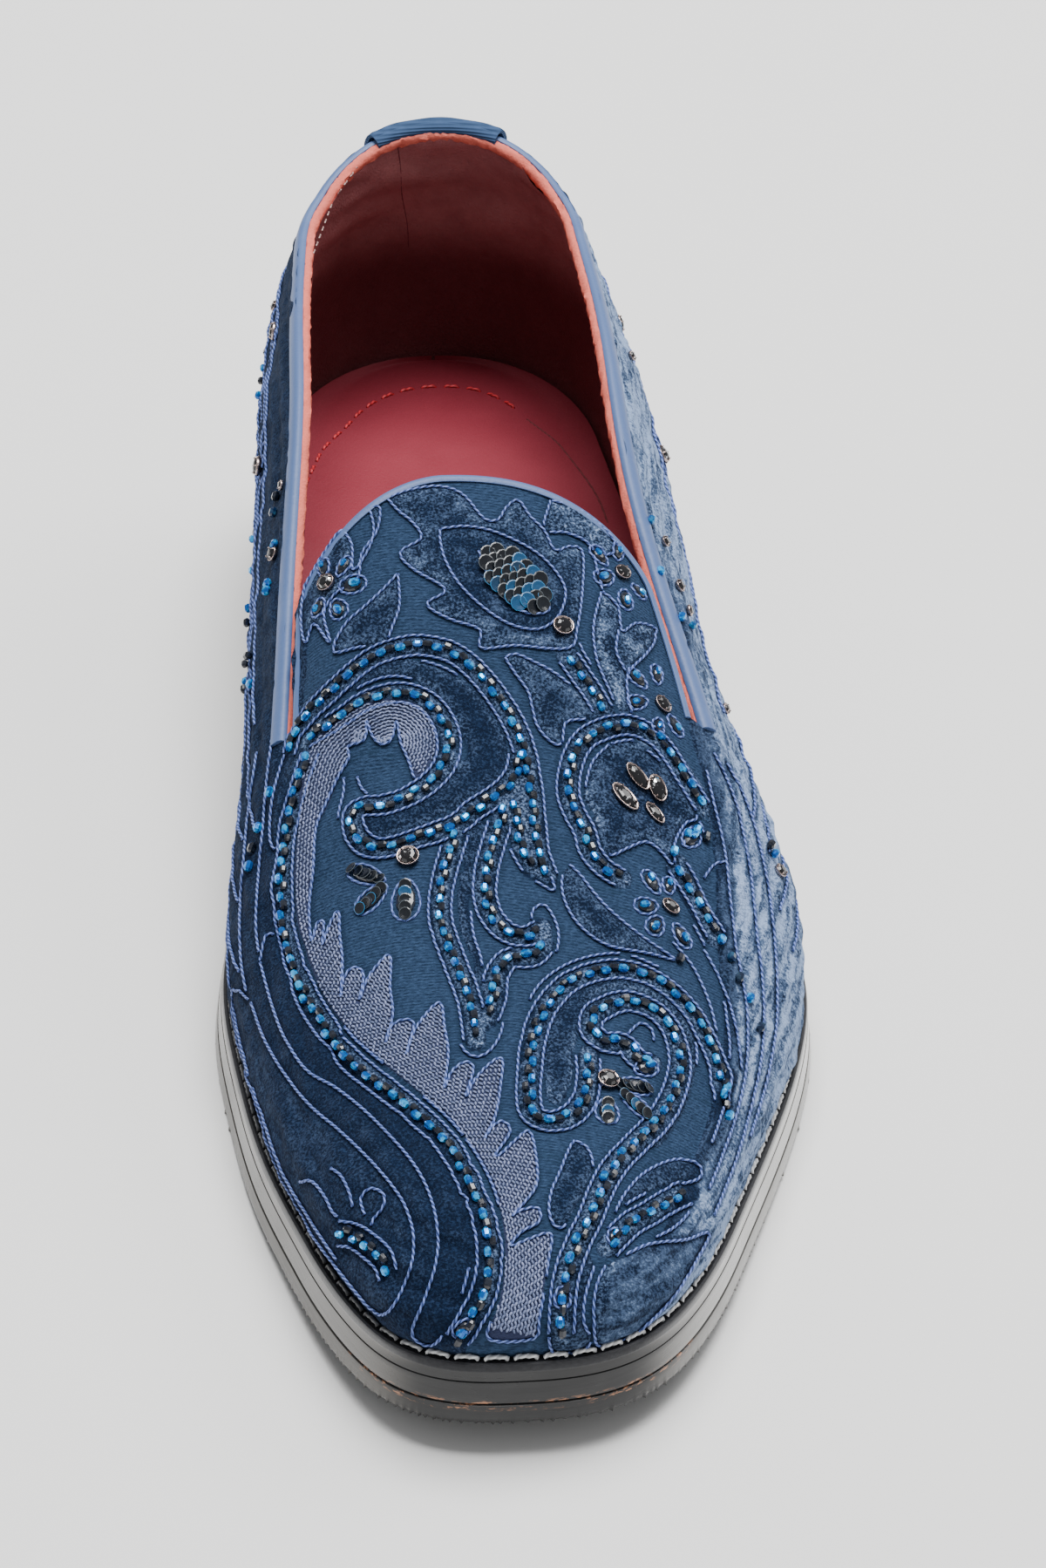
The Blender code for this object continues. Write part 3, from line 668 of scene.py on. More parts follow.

# %% [markdown]
# ## The pattern
# The embroiderer works from a chart. Here the chart is the view of the photograph: places are listed,
# joined by smooth curves and sent from the camera onto the cloth. The ornament is a traditional
# paisley: a curled head filled with chain stitch, bead rows between couched cords, leaves and small
# flowers. Velvet is laid wherever an outline of the first table encloses it, and all round the vamp.

# %% Outlines of the velvet, with how pale its pile is: brushed pile, and towards the outer side also painted light
VELVET = {
    "tongue_flower": (0.45, [
        (803, 680), (812, 690), (821, 697), (829, 710), (813, 721), (822, 733), (847, 749), (833, 760),
        (850, 771), (873, 779), (874, 793), (900, 791), (940, 793), (947, 778), (951, 748), (951, 720),
        (941, 716), (930, 719), (922, 704), (911, 693), (902, 681), (893, 687), (887, 696), (876, 695),
        (860, 677), (842, 671), (820, 674),
    ]),
    "tongue_leaf": (0.30, [
        (811, 737), (800, 749), (785, 763), (771, 776), (762, 796), (780, 793), (800, 789), (807, 776),
        (812, 760),
    ]),
    "tongue_left": (0.35, [
        (790, 688), (793, 704), (788, 720), (777, 735), (776, 715), (766, 703), (757, 712), (748, 727),
        (741, 745), (738, 770), (741, 790), (748, 775), (760, 790), (755, 768), (764, 752), (780, 742),
        (784, 722), (795, 705), (797, 687),
    ]),
    "tongue_right": (0.60, [
        (927, 681), (945, 686), (964, 699), (979, 716), (965, 722), (953, 711), (938, 705), (922, 703),
    ]),
    "throat_right": (0.65, [
        (966, 750), (960, 775), (962, 800), (972, 825), (980, 842), (990, 850), (986, 830), (986, 812),
        (1000, 797), (1008, 785), (1006, 777), (992, 774), (981, 780), (978, 760),
    ]),
    "crescent": (0.12, [
        (733, 860), (745, 842), (760, 828), (778, 812), (800, 803), (822, 802), (845, 808), (863, 819),
        (879, 837), (890, 856), (897, 872), (896, 885), (886, 897), (870, 906), (853, 914), (836, 924),
        (820, 931), (800, 937), (786, 934), (778, 925), (782, 919), (800, 918), (828, 908), (848, 894),
        (860, 880), (861, 866), (855, 848), (845, 833), (832, 822), (815, 815), (798, 816), (780, 824),
        (762, 837), (748, 852), (740, 866),
    ]),
    "head_left": (0.20, [
        (728, 868), (740, 866), (735, 890), (730, 915), (724, 945), (715, 940), (716, 910), (722, 885),
    ]),
    "big_leaf": (0.35, [
        (892, 800), (901, 798), (915, 804), (930, 812), (945, 824), (958, 838), (966, 847), (950, 847),
        (938, 850), (935, 866), (926, 863), (917, 852), (913, 838), (910, 826), (900, 812),
    ]),
    "rosette": (0.40, [
        (972, 866), (960, 878), (955, 892), (953, 908), (960, 920), (963, 936), (972, 950), (985, 945),
        (1000, 940), (1012, 948), (1021, 958), (1022, 940), (1030, 926), (1039, 921), (1031, 901),
        (1018, 882), (1003, 868), (988, 863),
    ]),
    "narrow_drop": (0.10, [
        (872, 922), (864, 940), (859, 962), (856, 985), (858, 1006), (866, 1026), (874, 1052), (874, 1030),
        (868, 1010), (866, 988), (868, 966), (874, 942), (879, 926),
    ]),
    "long_leaf": (0.30, [
        (941, 957), (950, 966), (960, 979), (971, 991), (986, 1004), (1002, 1016), (1022, 1030),
        (1003, 1025), (985, 1022), (969, 1018), (955, 1009), (944, 997), (937, 982), (936, 967),
    ]),
    "scroll_body": (0.25, [
        (950, 1084), (944, 1100), (945, 1112), (941, 1128), (934, 1139), (925, 1136), (922, 1118),
        (922, 1098), (926, 1078), (936, 1062), (952, 1049), (972, 1043), (992, 1045), (1008, 1052),
        (1022, 1063), (1032, 1078), (1038, 1096), (1038, 1112), (1034, 1130), (1027, 1148), (1010, 1172),
        (1002, 1170), (1016, 1150), (1026, 1130), (1032, 1108), (1029, 1090), (1020, 1073), (1008, 1061),
        (992, 1053), (976, 1052), (962, 1057), (953, 1068),
    ]),
    "pod": (0.15, [
        (945, 1167), (953, 1171), (958, 1180), (958, 1192), (952, 1207), (944, 1221), (937, 1232),
        (930, 1231), (926, 1220), (928, 1205), (935, 1189), (940, 1176),
    ]),
    "hook_leaf": (0.20, [
        (976, 1222), (984, 1208), (995, 1195), (1010, 1186), (1026, 1182), (1040, 1186), (1041, 1196),
        (1025, 1201), (1008, 1204), (990, 1212),
    ]),
    "fan": (0.45, [
        (969, 1262), (985, 1254), (1004, 1246), (1030, 1243), (1048, 1238), (1040, 1256), (1024, 1282),
        (1004, 1304), (984, 1318), (964, 1325), (960, 1300), (962, 1278),
    ]),
    "toe_bands": (0.12, [
        (707, 1030), (716, 1062), (726, 1088), (742, 1112), (765, 1126), (786, 1143), (803, 1160),
        (822, 1182), (834, 1204), (841, 1232), (840, 1258), (832, 1284), (822, 1312), (838, 1320),
        (852, 1300), (863, 1270), (867, 1246), (865, 1230), (858, 1206), (846, 1180), (826, 1156),
        (802, 1132), (776, 1113), (752, 1096), (738, 1074), (728, 1042), (722, 1015), (712, 1010),
    ]),
    "toe_left": (0.20, [
        (700, 1060), (712, 1092), (728, 1118), (746, 1140), (766, 1157), (786, 1176), (804, 1196),
        (817, 1216), (823, 1240), (820, 1264), (808, 1290), (795, 1296), (770, 1268), (748, 1238),
        (730, 1210), (714, 1170), (702, 1130), (690, 1090), (686, 1050),
    ]),
    "toe_right": (0.35, [
        (960, 1262), (953, 1285), (952, 1305), (958, 1322), (930, 1328), (926, 1300), (930, 1270),
        (938, 1245), (950, 1240),
    ]),
}
VAMP = [
    (745, 640), (955, 640), (968, 670), (983, 700), (996, 728), (1010, 760), (1022, 800), (1036, 866),
    (1046, 900), (1052, 940), (1054, 985), (1056, 1030), (1060, 1075), (1056, 1120), (1044, 1160),
    (1030, 1195), (1010, 1240), (975, 1262), (955, 1330), (866, 1335), (874, 1300), (880, 1262),
    (875, 1222), (859, 1185), (832, 1152), (794, 1120), (758, 1082), (735, 1038), (724, 990), (724, 950),
    (727, 925), (733, 890), (736, 860), (743, 800), (745, 727),
]

# %% Cords that are couched on their own
CORDS = [
    [(843, 703), (862, 701), (881, 704), (901, 712), (918, 722), (931, 735), (938, 748), (937, 760),
     (931, 771), (920, 778), (906, 778), (890, 772), (873, 760), (857, 744), (847, 727), (843, 712),
     (843, 703)],
    [(872, 719), (879, 738), (889, 752), (901, 763), (914, 767), (926, 764), (922, 750)],
    [(960, 722), (962, 732), (966, 750), (961, 772), (960, 795), (964, 812)],
    [(975, 755), (979, 775), (977, 795), (985, 812)],
    [(745, 868), (740, 885), (736, 905), (734, 930), (733, 955), (732, 985), (736, 1008), (744, 1033),
     (755, 1057), (771, 1080), (789, 1098), (809, 1114), (830, 1131), (849, 1148), (863, 1164),
     (874, 1182), (883, 1201), (888, 1220), (891, 1245), (890, 1268), (885, 1292), (878, 1310)],
    [(780, 890), (784, 900), (793, 906), (806, 906), (820, 903)],
    [(770, 885), (770, 902), (766, 920), (767, 935), (772, 945), (783, 951), (797, 953), (812, 951)],
    [(690, 900), (687, 940), (683, 985), (683, 1030), (688, 1070), (697, 1110), (710, 1150),
     (722, 1185), (738, 1214), (757, 1244), (780, 1276), (802, 1302)],
    [(705, 870), (699, 910), (695, 950), (692, 990), (693, 1030), (700, 1068)],
    [(716, 862), (712, 895), (709, 930), (706, 965), (704, 1000), (707, 1030)],
    [(735, 1196), (746, 1196), (756, 1208), (764, 1222), (780, 1225), (794, 1232), (804, 1244),
     (810, 1262), (808, 1282)],
    [(760, 1186), (768, 1192), (774, 1204), (777, 1216)],
    [(786, 1222), (783, 1210), (790, 1202), (800, 1206), (800, 1216), (792, 1226), (790, 1236)],
    [(1046, 885), (1053, 915), (1060, 945), (1064, 978), (1069, 1020), (1077, 1065), (1077, 1110),
     (1070, 1145), (1060, 1175), (1048, 1205)],
    [(1052, 872), (1066, 902), (1075, 935), (1081, 970), (1085, 1010), (1090, 1055), (1089, 1100),
     (1080, 1145), (1068, 1185), (1052, 1225)],
    [(1062, 880), (1078, 912), (1089, 950), (1096, 990), (1100, 1035), (1100, 1080), (1092, 1125),
     (1080, 1165)],
    [(1044, 1022), (1055, 1042), (1064, 1064), (1070, 1088), (1073, 1112), (1072, 1132)],
    [(1036, 1003), (1046, 1022), (1056, 1048), (1062, 1075), (1064, 1105), (1060, 1140), (1050, 1170)],
    [(1020, 1016), (1036, 1036), (1048, 1062), (1054, 1085)],
    [(915, 1150), (903, 1148), (904, 1122), (903, 1096), (907, 1070), (917, 1050), (934, 1036),
     (954, 1028), (976, 1025), (992, 1028), (1010, 1036)],
    [(968, 1074), (972, 1083), (984, 1087), (990, 1082), (996, 1078), (1004, 1083), (1006, 1092)],
    [(1000, 870), (1012, 880), (1022, 893), (1031, 908), (1041, 925), (1046, 940)],
    [(1028, 944), (1034, 930), (1044, 922), (1052, 930), (1054, 944)],
    [(1044, 968), (1052, 958), (1062, 956), (1066, 966), (1060, 980), (1066, 1000)],
    [(948, 778), (950, 792), (958, 806), (966, 822), (972, 838), (968, 850), (955, 847)],
    [(857, 1090), (862, 1099), (871, 1103), (881, 1098), (889, 1085), (892, 1065), (891, 1047),
     (886, 1035)],
    [(888, 948), (893, 953), (905, 963), (919, 972), (930, 977), (926, 962), (924, 945), (923, 925)],
    [(912, 1000), (914, 991), (922, 988), (929, 997), (933, 1010), (931, 1024), (922, 1033),
     (906, 1037), (890, 1035)],
    [(1035, 1203), (1036, 1216), (1026, 1230), (1010, 1240), (990, 1247), (970, 1258)],
]

# %% Rows of beads between two couched cords
BEAD_ROWS = [
    [(728, 874), (735, 856), (746, 841), (758, 829), (772, 816), (788, 803), (805, 795), (824, 791),
     (842, 793), (857, 799), (872, 812), (886, 829), (897, 846), (905, 864), (910, 884), (913, 905),
     (915, 925), (917, 945), (924, 966)],
    [(742, 862), (752, 856), (768, 846), (782, 836), (796, 830), (812, 827),
     (826, 830), (838, 838), (846, 850), (850, 864), (848, 877), (841, 889), (830, 899), (815, 907),
     (800, 912), (785, 913), (777, 919), (778, 931), (785, 941), (797, 945), (811, 942), (826, 937),
     (841, 932), (856, 926), (868, 916), (881, 908), (893, 899), (901, 888), (904, 874)],
    [(745, 872), (738, 892), (731, 915), (727, 940), (724, 965), (724, 990), (728, 1014), (735, 1038),
     (744, 1060), (758, 1082), (774, 1103), (794, 1120), (814, 1136), (832, 1152), (847, 1167),
     (859, 1185), (868, 1204), (875, 1222), (880, 1242), (880, 1262), (876, 1282), (867, 1300),
     (856, 1318)],
    [(856, 932), (851, 948), (846, 966), (843, 985), (844, 1002), (850, 1020), (857, 1038), (864, 1056),
     (868, 1074), (870, 1090)],
    [(893, 912), (887, 930), (882, 946), (878, 962), (877, 980), (882, 996), (893, 1008), (908, 1012),
     (921, 1006)],
    [(899, 908), (902, 926), (905, 944), (914, 960)],
    [(922, 1018), (912, 1027), (896, 1028), (886, 1040), (884, 1058), (878, 1074)],
    [(940, 799), (950, 813), (959, 826), (967, 840)],
    [(1044, 914), (1036, 902), (1028, 890), (1014, 868), (1000, 856), (985, 851), (968, 854), (953, 862),
     (945, 875), (941, 892), (941, 906), (946, 919), (953, 932), (957, 946), (967, 959), (981, 968)],
    [(1024, 958), (1031, 970), (1038, 984), (1046, 998), (1054, 1012)],
    [(956, 1102), (956, 1120), (953, 1135), (943, 1147), (928, 1152), (914, 1147), (910, 1132),
     (911, 1113), (913, 1094), (918, 1076), (927, 1060), (941, 1047), (958, 1040), (977, 1037),
     (995, 1040), (1010, 1047), (1023, 1057), (1035, 1070), (1045, 1087), (1053, 1104), (1058, 1122),
     (1058, 1140)],
    [(1004, 1110), (992, 1104), (984, 1094), (968, 1092), (958, 1083), (960, 1071), (972, 1064),
     (985, 1061), (998, 1064), (1010, 1071), (1019, 1082), (1024, 1095), (1026, 1110), (1023, 1126),
     (1016, 1142), (1006, 1156), (993, 1168), (981, 1180), (971, 1194), (964, 1209), (958, 1224),
     (950, 1240), (943, 1256), (938, 1274), (936, 1292), (935, 1314)],
    [(970, 1248), (980, 1238), (990, 1229), (1003, 1222), (1016, 1214), (1031, 1207)],
    [(765, 1235), (778, 1238), (790, 1246), (800, 1256), (806, 1268)],
]
FEATHER_SPINE = [
    (832, 888), (838, 870), (836, 852), (822, 838), (804, 834), (786, 840), (768, 852), (752, 870),
    (744, 895), (740, 925), (738, 955), (738, 985), (744, 1015), (757, 1046), (776, 1074), (800, 1098),
    (826, 1120), (850, 1142), (868, 1166), (884, 1196), (894, 1224), (898, 1252), (897, 1280),
    (892, 1308),
]
FEATHER = [
    (824, 894), (834, 883), (840, 870), (840, 855), (833, 842), (821, 834), (805, 832), (788, 835),
    (772, 843), (758, 854), (745, 868), (738, 895), (734, 930), (733, 960), (733, 990), (738, 1012),
    (746, 1036), (757, 1060), (773, 1082), (790, 1100), (810, 1116), (831, 1133), (850, 1150),
    (864, 1167), (875, 1184), (884, 1203), (889, 1222), (892, 1246), (891, 1270), (886, 1294),
    (880, 1316), (914, 1316), (918, 1302), (922, 1280), (925, 1258), (927, 1238), (912, 1241),
    (896, 1247), (904, 1236), (918, 1228), (917, 1218), (904, 1220), (897, 1224), (908, 1212),
    (916, 1200), (916, 1182), (911, 1160), (901, 1166), (889, 1177), (884, 1178), (896, 1160),
    (890, 1152), (882, 1157), (876, 1166), (884, 1150), (888, 1130), (890, 1105), (880, 1109),
    (869, 1121), (862, 1134), (868, 1112), (862, 1107), (852, 1114), (846, 1127), (849, 1100),
    (846, 1080), (843, 1062), (832, 1071), (822, 1086), (817, 1102), (823, 1078), (814, 1075),
    (805, 1081), (802, 1092), (807, 1070), (805, 1050), (805, 1026), (795, 1034), (787, 1046),
    (782, 1060), (785, 1040), (777, 1035), (770, 1044), (768, 1058), (769, 1030), (767, 1010),
    (766, 992), (759, 1004), (754, 1018), (755, 1000), (750, 1002), (746, 1015), (744, 990),
    (747, 960), (749, 930), (757, 910), (766, 890), (774, 876), (773, 868), (786, 862), (787, 848),
    (792, 860), (799, 866), (806, 862), (810, 848), (813, 864), (819, 878),
]

# %% Flowers: petals, stones and clusters
PETALS = [
    # across, down, long, wide, angle
    (755, 733, 15, 9, 100), (770, 732, 15, 9, 60), (777, 746, 18, 13, 10), (766, 764, 17, 12, -60),
    (751, 763, 14, 9, -110), (964, 723, 16, 9, 130), (978, 720, 14, 9, 85), (968, 739, 16, 12, 200),
    (984, 756, 16, 11, -85), (994, 750, 13, 8, -45), (787, 965, 28, 13, 160), (791, 983, 26, 14, 225),
    (817, 984, 32, 18, -90), (993, 816, 17, 10, 135), (1008, 813, 15, 9, 95), (993, 834, 17, 10, 190),
    (1009, 852, 14, 9, -105), (1022, 852, 17, 9, -60), (1004, 971, 19, 11, 120), (1017, 974, 14, 9, 85),
    (1000, 989, 17, 12, 185), (1007, 1004, 17, 12, -120), (1027, 1012, 19, 11, -60),
    (970, 1145, 20, 15, -90), (991, 1126, 24, 13, -10), (992, 1140, 24, 12, -42),
    (1000, 1112, 18, 12, 15), (1034, 938, 20, 12, 45), (975, 1240, 12, 8, 60), (860, 1308, 16, 9, 225),
    (936, 1286, 14, 10, -90),
]
STONES = [
    # across, down, long, wide, angle
    (758, 745, 15, 14, 0), (936, 777, 16, 15, 0), (981, 736, 14, 12, 0), (819, 952, 17, 16, 0),
    (1012, 836, 15, 11, -50), (1018, 990, 15, 11, -40), (970, 1122, 17, 16, 0),
    (983, 907, 27, 13, -48), (993, 891, 25, 11, -52), (1008, 900, 22, 13, -70), (1006, 919, 20, 10, -50),
    (988, 571, 8, 8, 0), (1030, 704, 10, 9, 0), (1036, 739, 11, 10, 0), (1041, 762, 10, 9, 0),
    (1060, 839, 10, 9, 0), (1102, 963, 12, 11, 0), (697, 667, 9, 8, 0), (699, 716, 13, 12, 0),
    (719, 536, 8, 8, 0),
]
CLUSTERS = [
    # across, down, long, wide, angle
    (900, 742, 60, 32, -42), (787, 965, 26, 10, 160), (791, 984, 24, 10, 225), (817, 985, 30, 11, -90),
    (970, 1146, 18, 10, -90), (990, 1127, 24, 10, -10), (991, 1141, 24, 10, -42),
]
LONE_BEADS = [
    (697, 740), (697, 748), (700, 800), (702, 821), (716, 903), (707, 930), (703, 945), (700, 959),
    (720, 716), (721, 680), (719, 692), (1002, 696), (1009, 735), (1025, 1030), (1065, 1030),
    (1070, 1044), (1078, 1060), (1086, 1082), (1057, 1016), (1060, 1128), (1062, 1150), (1031, 935),
    (1038, 932), (1045, 937), (1020, 948), (1097, 950), (1094, 943), (1034, 776), (1026, 770),
]
print("outlines", len(VELVET), "cords", len(CORDS), "bead rows", len(BEAD_ROWS))

# %% [markdown]
# ## Relief of the cloth
# Velvet is laid on the ribbed ground and stuffed a little, so its outlines stand up by half a
# millimetre, and the couching stitches pull the cloth in beside them. The vamp also keeps a few soft
# creases from the shoe being bent. All of it moves points of the fine grid along their normals.


# %% Measure the outlines on the cloth
def smooth(places, step):
    """Evenly spaced points on a smooth curve through given places."""
    p = np.asarray(places, float)
    ends = np.vstack([2 * p[0] - p[1], p, 2 * p[-1] - p[-2]])
    t = np.linspace(0, 1, 14, endpoint=False)[None, :, None]
    a, b, c, d = (block[:, None] for block in (ends[:-3], ends[1:-2], ends[2:-1], ends[3:]))
    bend = (2 * a - 5 * b + 4 * c - d) * t**2 + (3 * b - a - 3 * c + d) * t**3
    curve = np.vstack([(0.5 * (2 * b + (c - a) * t + bend)).reshape(-1, p.shape[1]), p[-1:]])
    run = run_of(curve)
    marks = np.linspace(0, run[-1], max(int(round(run[-1] / step)), 2) + 1)
    return np.stack([np.interp(marks, run, column) for column in curve.T], 1)


def distance_to(places, path):
    """Distance from each place to a path of short straight steps."""
    nearest = np.full(len(places), 1e9)
    for p, q in zip(path, path[1:]):
        share = np.clip((places - p) @ (q - p) / max((q - p) @ (q - p), 1e-12), 0, 1)
        nearest = np.minimum(nearest, np.linalg.norm(places - p - share[:, None] * (q - p), axis=1))
    return nearest


def depth_inside(places, outline):
    """How far each place lies inside a closed outline. Outside counts negative."""
    inside = np.zeros(len(places), bool)
    x, y = places.T
    for p, q in zip(outline, np.roll(outline, -1, 0)):
        if p[1] != q[1]:
            inside ^= ((p[1] > y) != (q[1] > y)) & (x < (q[0] - p[0]) * (y - p[1]) / (q[1] - p[1]) + p[0])
    return np.where(inside, 1, -1) * distance_to(places, np.vstack([outline, outline[:1]]))


def near(places, outline, margin=9.0):
    """Which places lie in the outline's box and a margin round it."""
    low, high = outline.min(0) - margin, outline.max(0) + margin
    return np.flatnonzero(((places > low) & (places < high)).all(1))


spots, outward = coordinates(cloth), normals(cloth)
run, girth, side = (trait(cloth, label) for label in ("run", "girth", "side"))
visible = np.flatnonzero(((EYE - spots) * outward).sum(1) > 0)
seen = to_photo(spots)[visible]
# Millimetres of cloth to a step of the chart, how pale a bead row's pile is, and half its width
PIXEL, ROW_PALE, ROW_HALF = 1 / 3.75, 0.10, 8.5



def closed(outline):
    return outline + outline[:1]


def on_cloth(path):
    """The cloth's points near a path of the chart, and where the chart sees them."""
    close = near(seen, path)
    return visible[close], seen[close]


# Everything outside the vamp is velvet, darker on the inner side and paler on the outer, partly brushed
# pile and partly painted light from the right
vamp_depth = np.full(len(spots), -9.0)
picked, at = on_cloth(np.array(VAMP, float))
vamp_depth[picked] = depth_inside(at, smooth(closed(VAMP), 8.0)) * PIXEL
off_vamp = 1 - ease(vamp_depth + 0.5)
outer_share = np.where(spots[:, 1] > 0.10, ease((spots[:, 0] + 0.016) / 0.032), side > 0)
pale = (0.15 + outer_share * (0.12 + 0.63 * ease(-vamp_depth / 7))) * off_vamp
velvet, plush = off_vamp.copy(), -vamp_depth
for share, outline in VELVET.values():
    path = smooth(closed(outline), 3.0)
    picked, at = on_cloth(path)
    depth = depth_inside(at, path) * PIXEL
    cover = ease(depth + 0.5)
    velvet[picked] = np.maximum(velvet[picked], cover)
    pale[picked] = pale[picked] * (1 - cover) + share * cover
    plush[picked] = np.maximum(plush[picked], depth)
for row in BEAD_ROWS:
    path = smooth(row, 3.0)
    picked, at = on_cloth(path)
    cover = ease((ROW_HALF - distance_to(at, path)) * PIXEL + 0.5)
    velvet[picked] = np.maximum(velvet[picked], cover)
    pale[picked] = pale[picked] * (1 - cover) + ROW_PALE * cover
    plush[picked] = plush[picked] * (1 - cover) + 0.2 * cover
feather = np.zeros(len(spots))
path = smooth(closed(FEATHER), 2.0)
picked, at = on_cloth(path)
feather[picked] = ease(depth_inside(at, path) * PIXEL + 0.4)
velvet *= 1 - feather
print("velvet share", round(float(velvet.mean()), 2), "stitched share", round(float(feather.mean()), 3))

# %% [markdown]
# The quarters carry long bands from heel to vamp. They are charted on the cloth itself: how far along
# the sole from the back of the heel, and how far up from the welt, in millimetres.

# %% Bands of the quarters
QUARTER_CORDS = [
    [(3, 10), (30, 11), (60, 13), (95, 10), (130, 9), (165, 10), (200, 12), (232, 15)],
    [(3, 15), (30, 17), (62, 21), (95, 18), (130, 15), (165, 15), (200, 17), (226, 21)],
    [(3, 25), (25, 30), (55, 31), (85, 27), (120, 23), (155, 21), (190, 22), (214, 26)],
    [(3, 31), (28, 37), (58, 37), (88, 32), (122, 27), (158, 25), (190, 26), (208, 30)],
    [(3, 45), (25, 46), (55, 43), (88, 38), (122, 33), (150, 29), (180, 30)],
]
QUARTER_BEADS = [(8, 20), (30, 23), (55, 26), (80, 23), (110, 19), (140, 18), (165, 18)]
QUARTER_CURLS = [(34, 43), (74, 39), (112, 31), (52, 7), (98, 5), (140, 5)]
# Pairs of cords with darker pile between them, how much darker, and where that ends
STRIPES, STRIPE_SHADE, STRIPE_END = [(0, 1), (2, 3)], 0.40, 195


def heights(cord, at):
    return np.interp(at, *np.array(smooth(cord, 4.0)).T)


ground = np.zeros(len(spots))
for low, high in STRIPES:
    bottom, top = heights(QUARTER_CORDS[low], run), heights(QUARTER_CORDS[high], run)
    inside = np.minimum(girth - bottom, top - girth)
    ground = np.maximum(ground, ease(inside + 0.5) * ease((STRIPE_END - run) / 10))
pale = pale * (1 - STRIPE_SHADE * ground * off_vamp)

# %% Move the points
# Heights in metres
PILE, CRUSH, SATIN, SLOW, RIDGES, LUMPS = 0.00055, 0.00010, 0.00035, 0.00030, 0.00085, 0.00060
CREASES = [
    # along, slant, depth, width, side
    (0.615, 0.05, 0.0008, 0.0035, 1),
    (0.655, 0.06, 0.0006, 0.0030, 1),
    (0.600, 0.04, 0.0008, 0.0035, -1),
    (0.640, 0.05, 0.0006, 0.0030, -1),
]
swept = off_vamp * np.where(side > 0, 1.0, 0.8)
ridges = wobble(np.stack([run / 22, girth / 3.1, side * 9], 1), 1)
move = (PILE * ease(plush / 1.1 + 0.4) + CRUSH * wobble(spots, 420)) * velvet + SATIN * feather
move += SLOW * wobble(spots, 70) + (RIDGES * ridges + LUMPS * wobble(spots, 290)) * swept
# Just inside each velvet outline the pile is painted paler, a painted highlight where it turns over the
# edge
painted_edge_highlight = np.exp(-np.clip(plush, 0, 9) / 1.3) * velvet * (plush > -0.5) * (1 - swept)
for along, slant, depth, width, flank in CREASES:
    line = along + slant * np.abs(spots[:, 0]) / (0.5 * SOLE_WIDTH)
    off = (share_of(spots[:, 1]) - line) * SOLE_LENGTH / width
    lateral = ease((flank * spots[:, 0] - 0.008) / 0.02)
    move -= depth * np.exp(-off * off) * lateral * ease((girth - 12) / 20)
move_points(cloth, spots + outward * (move * ease(girth / 3.0))[:, None])
kept = {"velvet": velvet, "pale": pale, "feather": feather, "painted_edge_highlight": painted_edge_highlight, "swept": swept}
for label, values in kept.items():
    trait(cloth, label, values)
print("raised by up to", round(float(move.max()) * 1000, 2), "mm")

# %% [markdown]
# ## Velvet and ribbed ground
# Crushed velvet is dark where the pile stands and pale where it lies down and turns its sides to the
# light, in patches of a few millimetres. The ground is a fine ribbed cloth. One material carries both,
# shared out by what the outlines left on the points.

# %% Colour the upper
NAVY, DEEP = (0.002, 0.006, 0.018), (0.007, 0.019, 0.052)
STEEL, PALE = (0.056, 0.092, 0.172), (0.285, 0.390, 0.600)
fabric = Finish("crushed_velvet", Roughness=0.92, Sheen_Weight=0.04, Sheen_Roughness=0.4)
fabric.put(fabric.shader, {"Sheen Tint": (0.45, 0.60, 1.0), "Specular IOR Level": 0.10})
patches = fabric.noise(4.0, 4.0, 0.65).between(0.36, 0.70)
streaks = fabric.flow(14.0, 1.9, 4.0).between(0.34, 0.64)
flecks = fabric.noise(0.50, 3.0, 0.65).between(0.34, 0.68)
brushed_and_lit, painted_edge_highlight, swept, drawn_in_and_shaded = (fabric.trait(name) for name in ("pale", "painted_edge_highlight", "swept", "drawn_in_and_shaded"))
ruffled = fabric.noise(1.6, 4.0, 0.7).between(0.36, 0.66)
drift = patches * (1.0 - swept) + (streaks * 0.50 + ruffled * 0.35 + patches * 0.15) * swept
# The pale share lightens the pile as brushed pile and, on the outer side, as painted light
lying = drift * (brushed_and_lit * (swept * 0.55 + 0.60) + 0.03) + flecks * (brushed_and_lit * 0.35 + 0.10)
lying = lying + brushed_and_lit * swept * 0.12 + painted_edge_highlight * (0.16 + flecks * 0.56)
# Painted shade beside the cords darkens the pile
lying = lying * (1.0 - drawn_in_and_shaded * 0.7)
dark_pile = fabric.mix(flecks, NAVY, DEEP)
pile = fabric.mix(lying.between(0.12, 0.66), dark_pile, STEEL)
pile = fabric.mix(lying.between(0.48, 1.15), pile, PALE)
ribs = (fabric.axis("Y", 0.7, 1.0, 1.0) * 9.5 + fabric.axis("X") * 1.2).sine() * 0.5 + 0.5
slub = fabric.noise(0.42, 3.0, 0.65, (0.45, 1.3, 1.0)).between(0.30, 0.70)
snag = fabric.noise(7.0, 3.0, 0.7, (0.35, 2.4, 1.0)).between(0.58, 0.70)
weave = fabric.mix(ribs * 0.30 + slub * 0.70, (0.004, 0.013, 0.033), (0.032, 0.064, 0.130))
weave = fabric.mix(snag * 0.45, weave, (0.008, 0.024, 0.048))
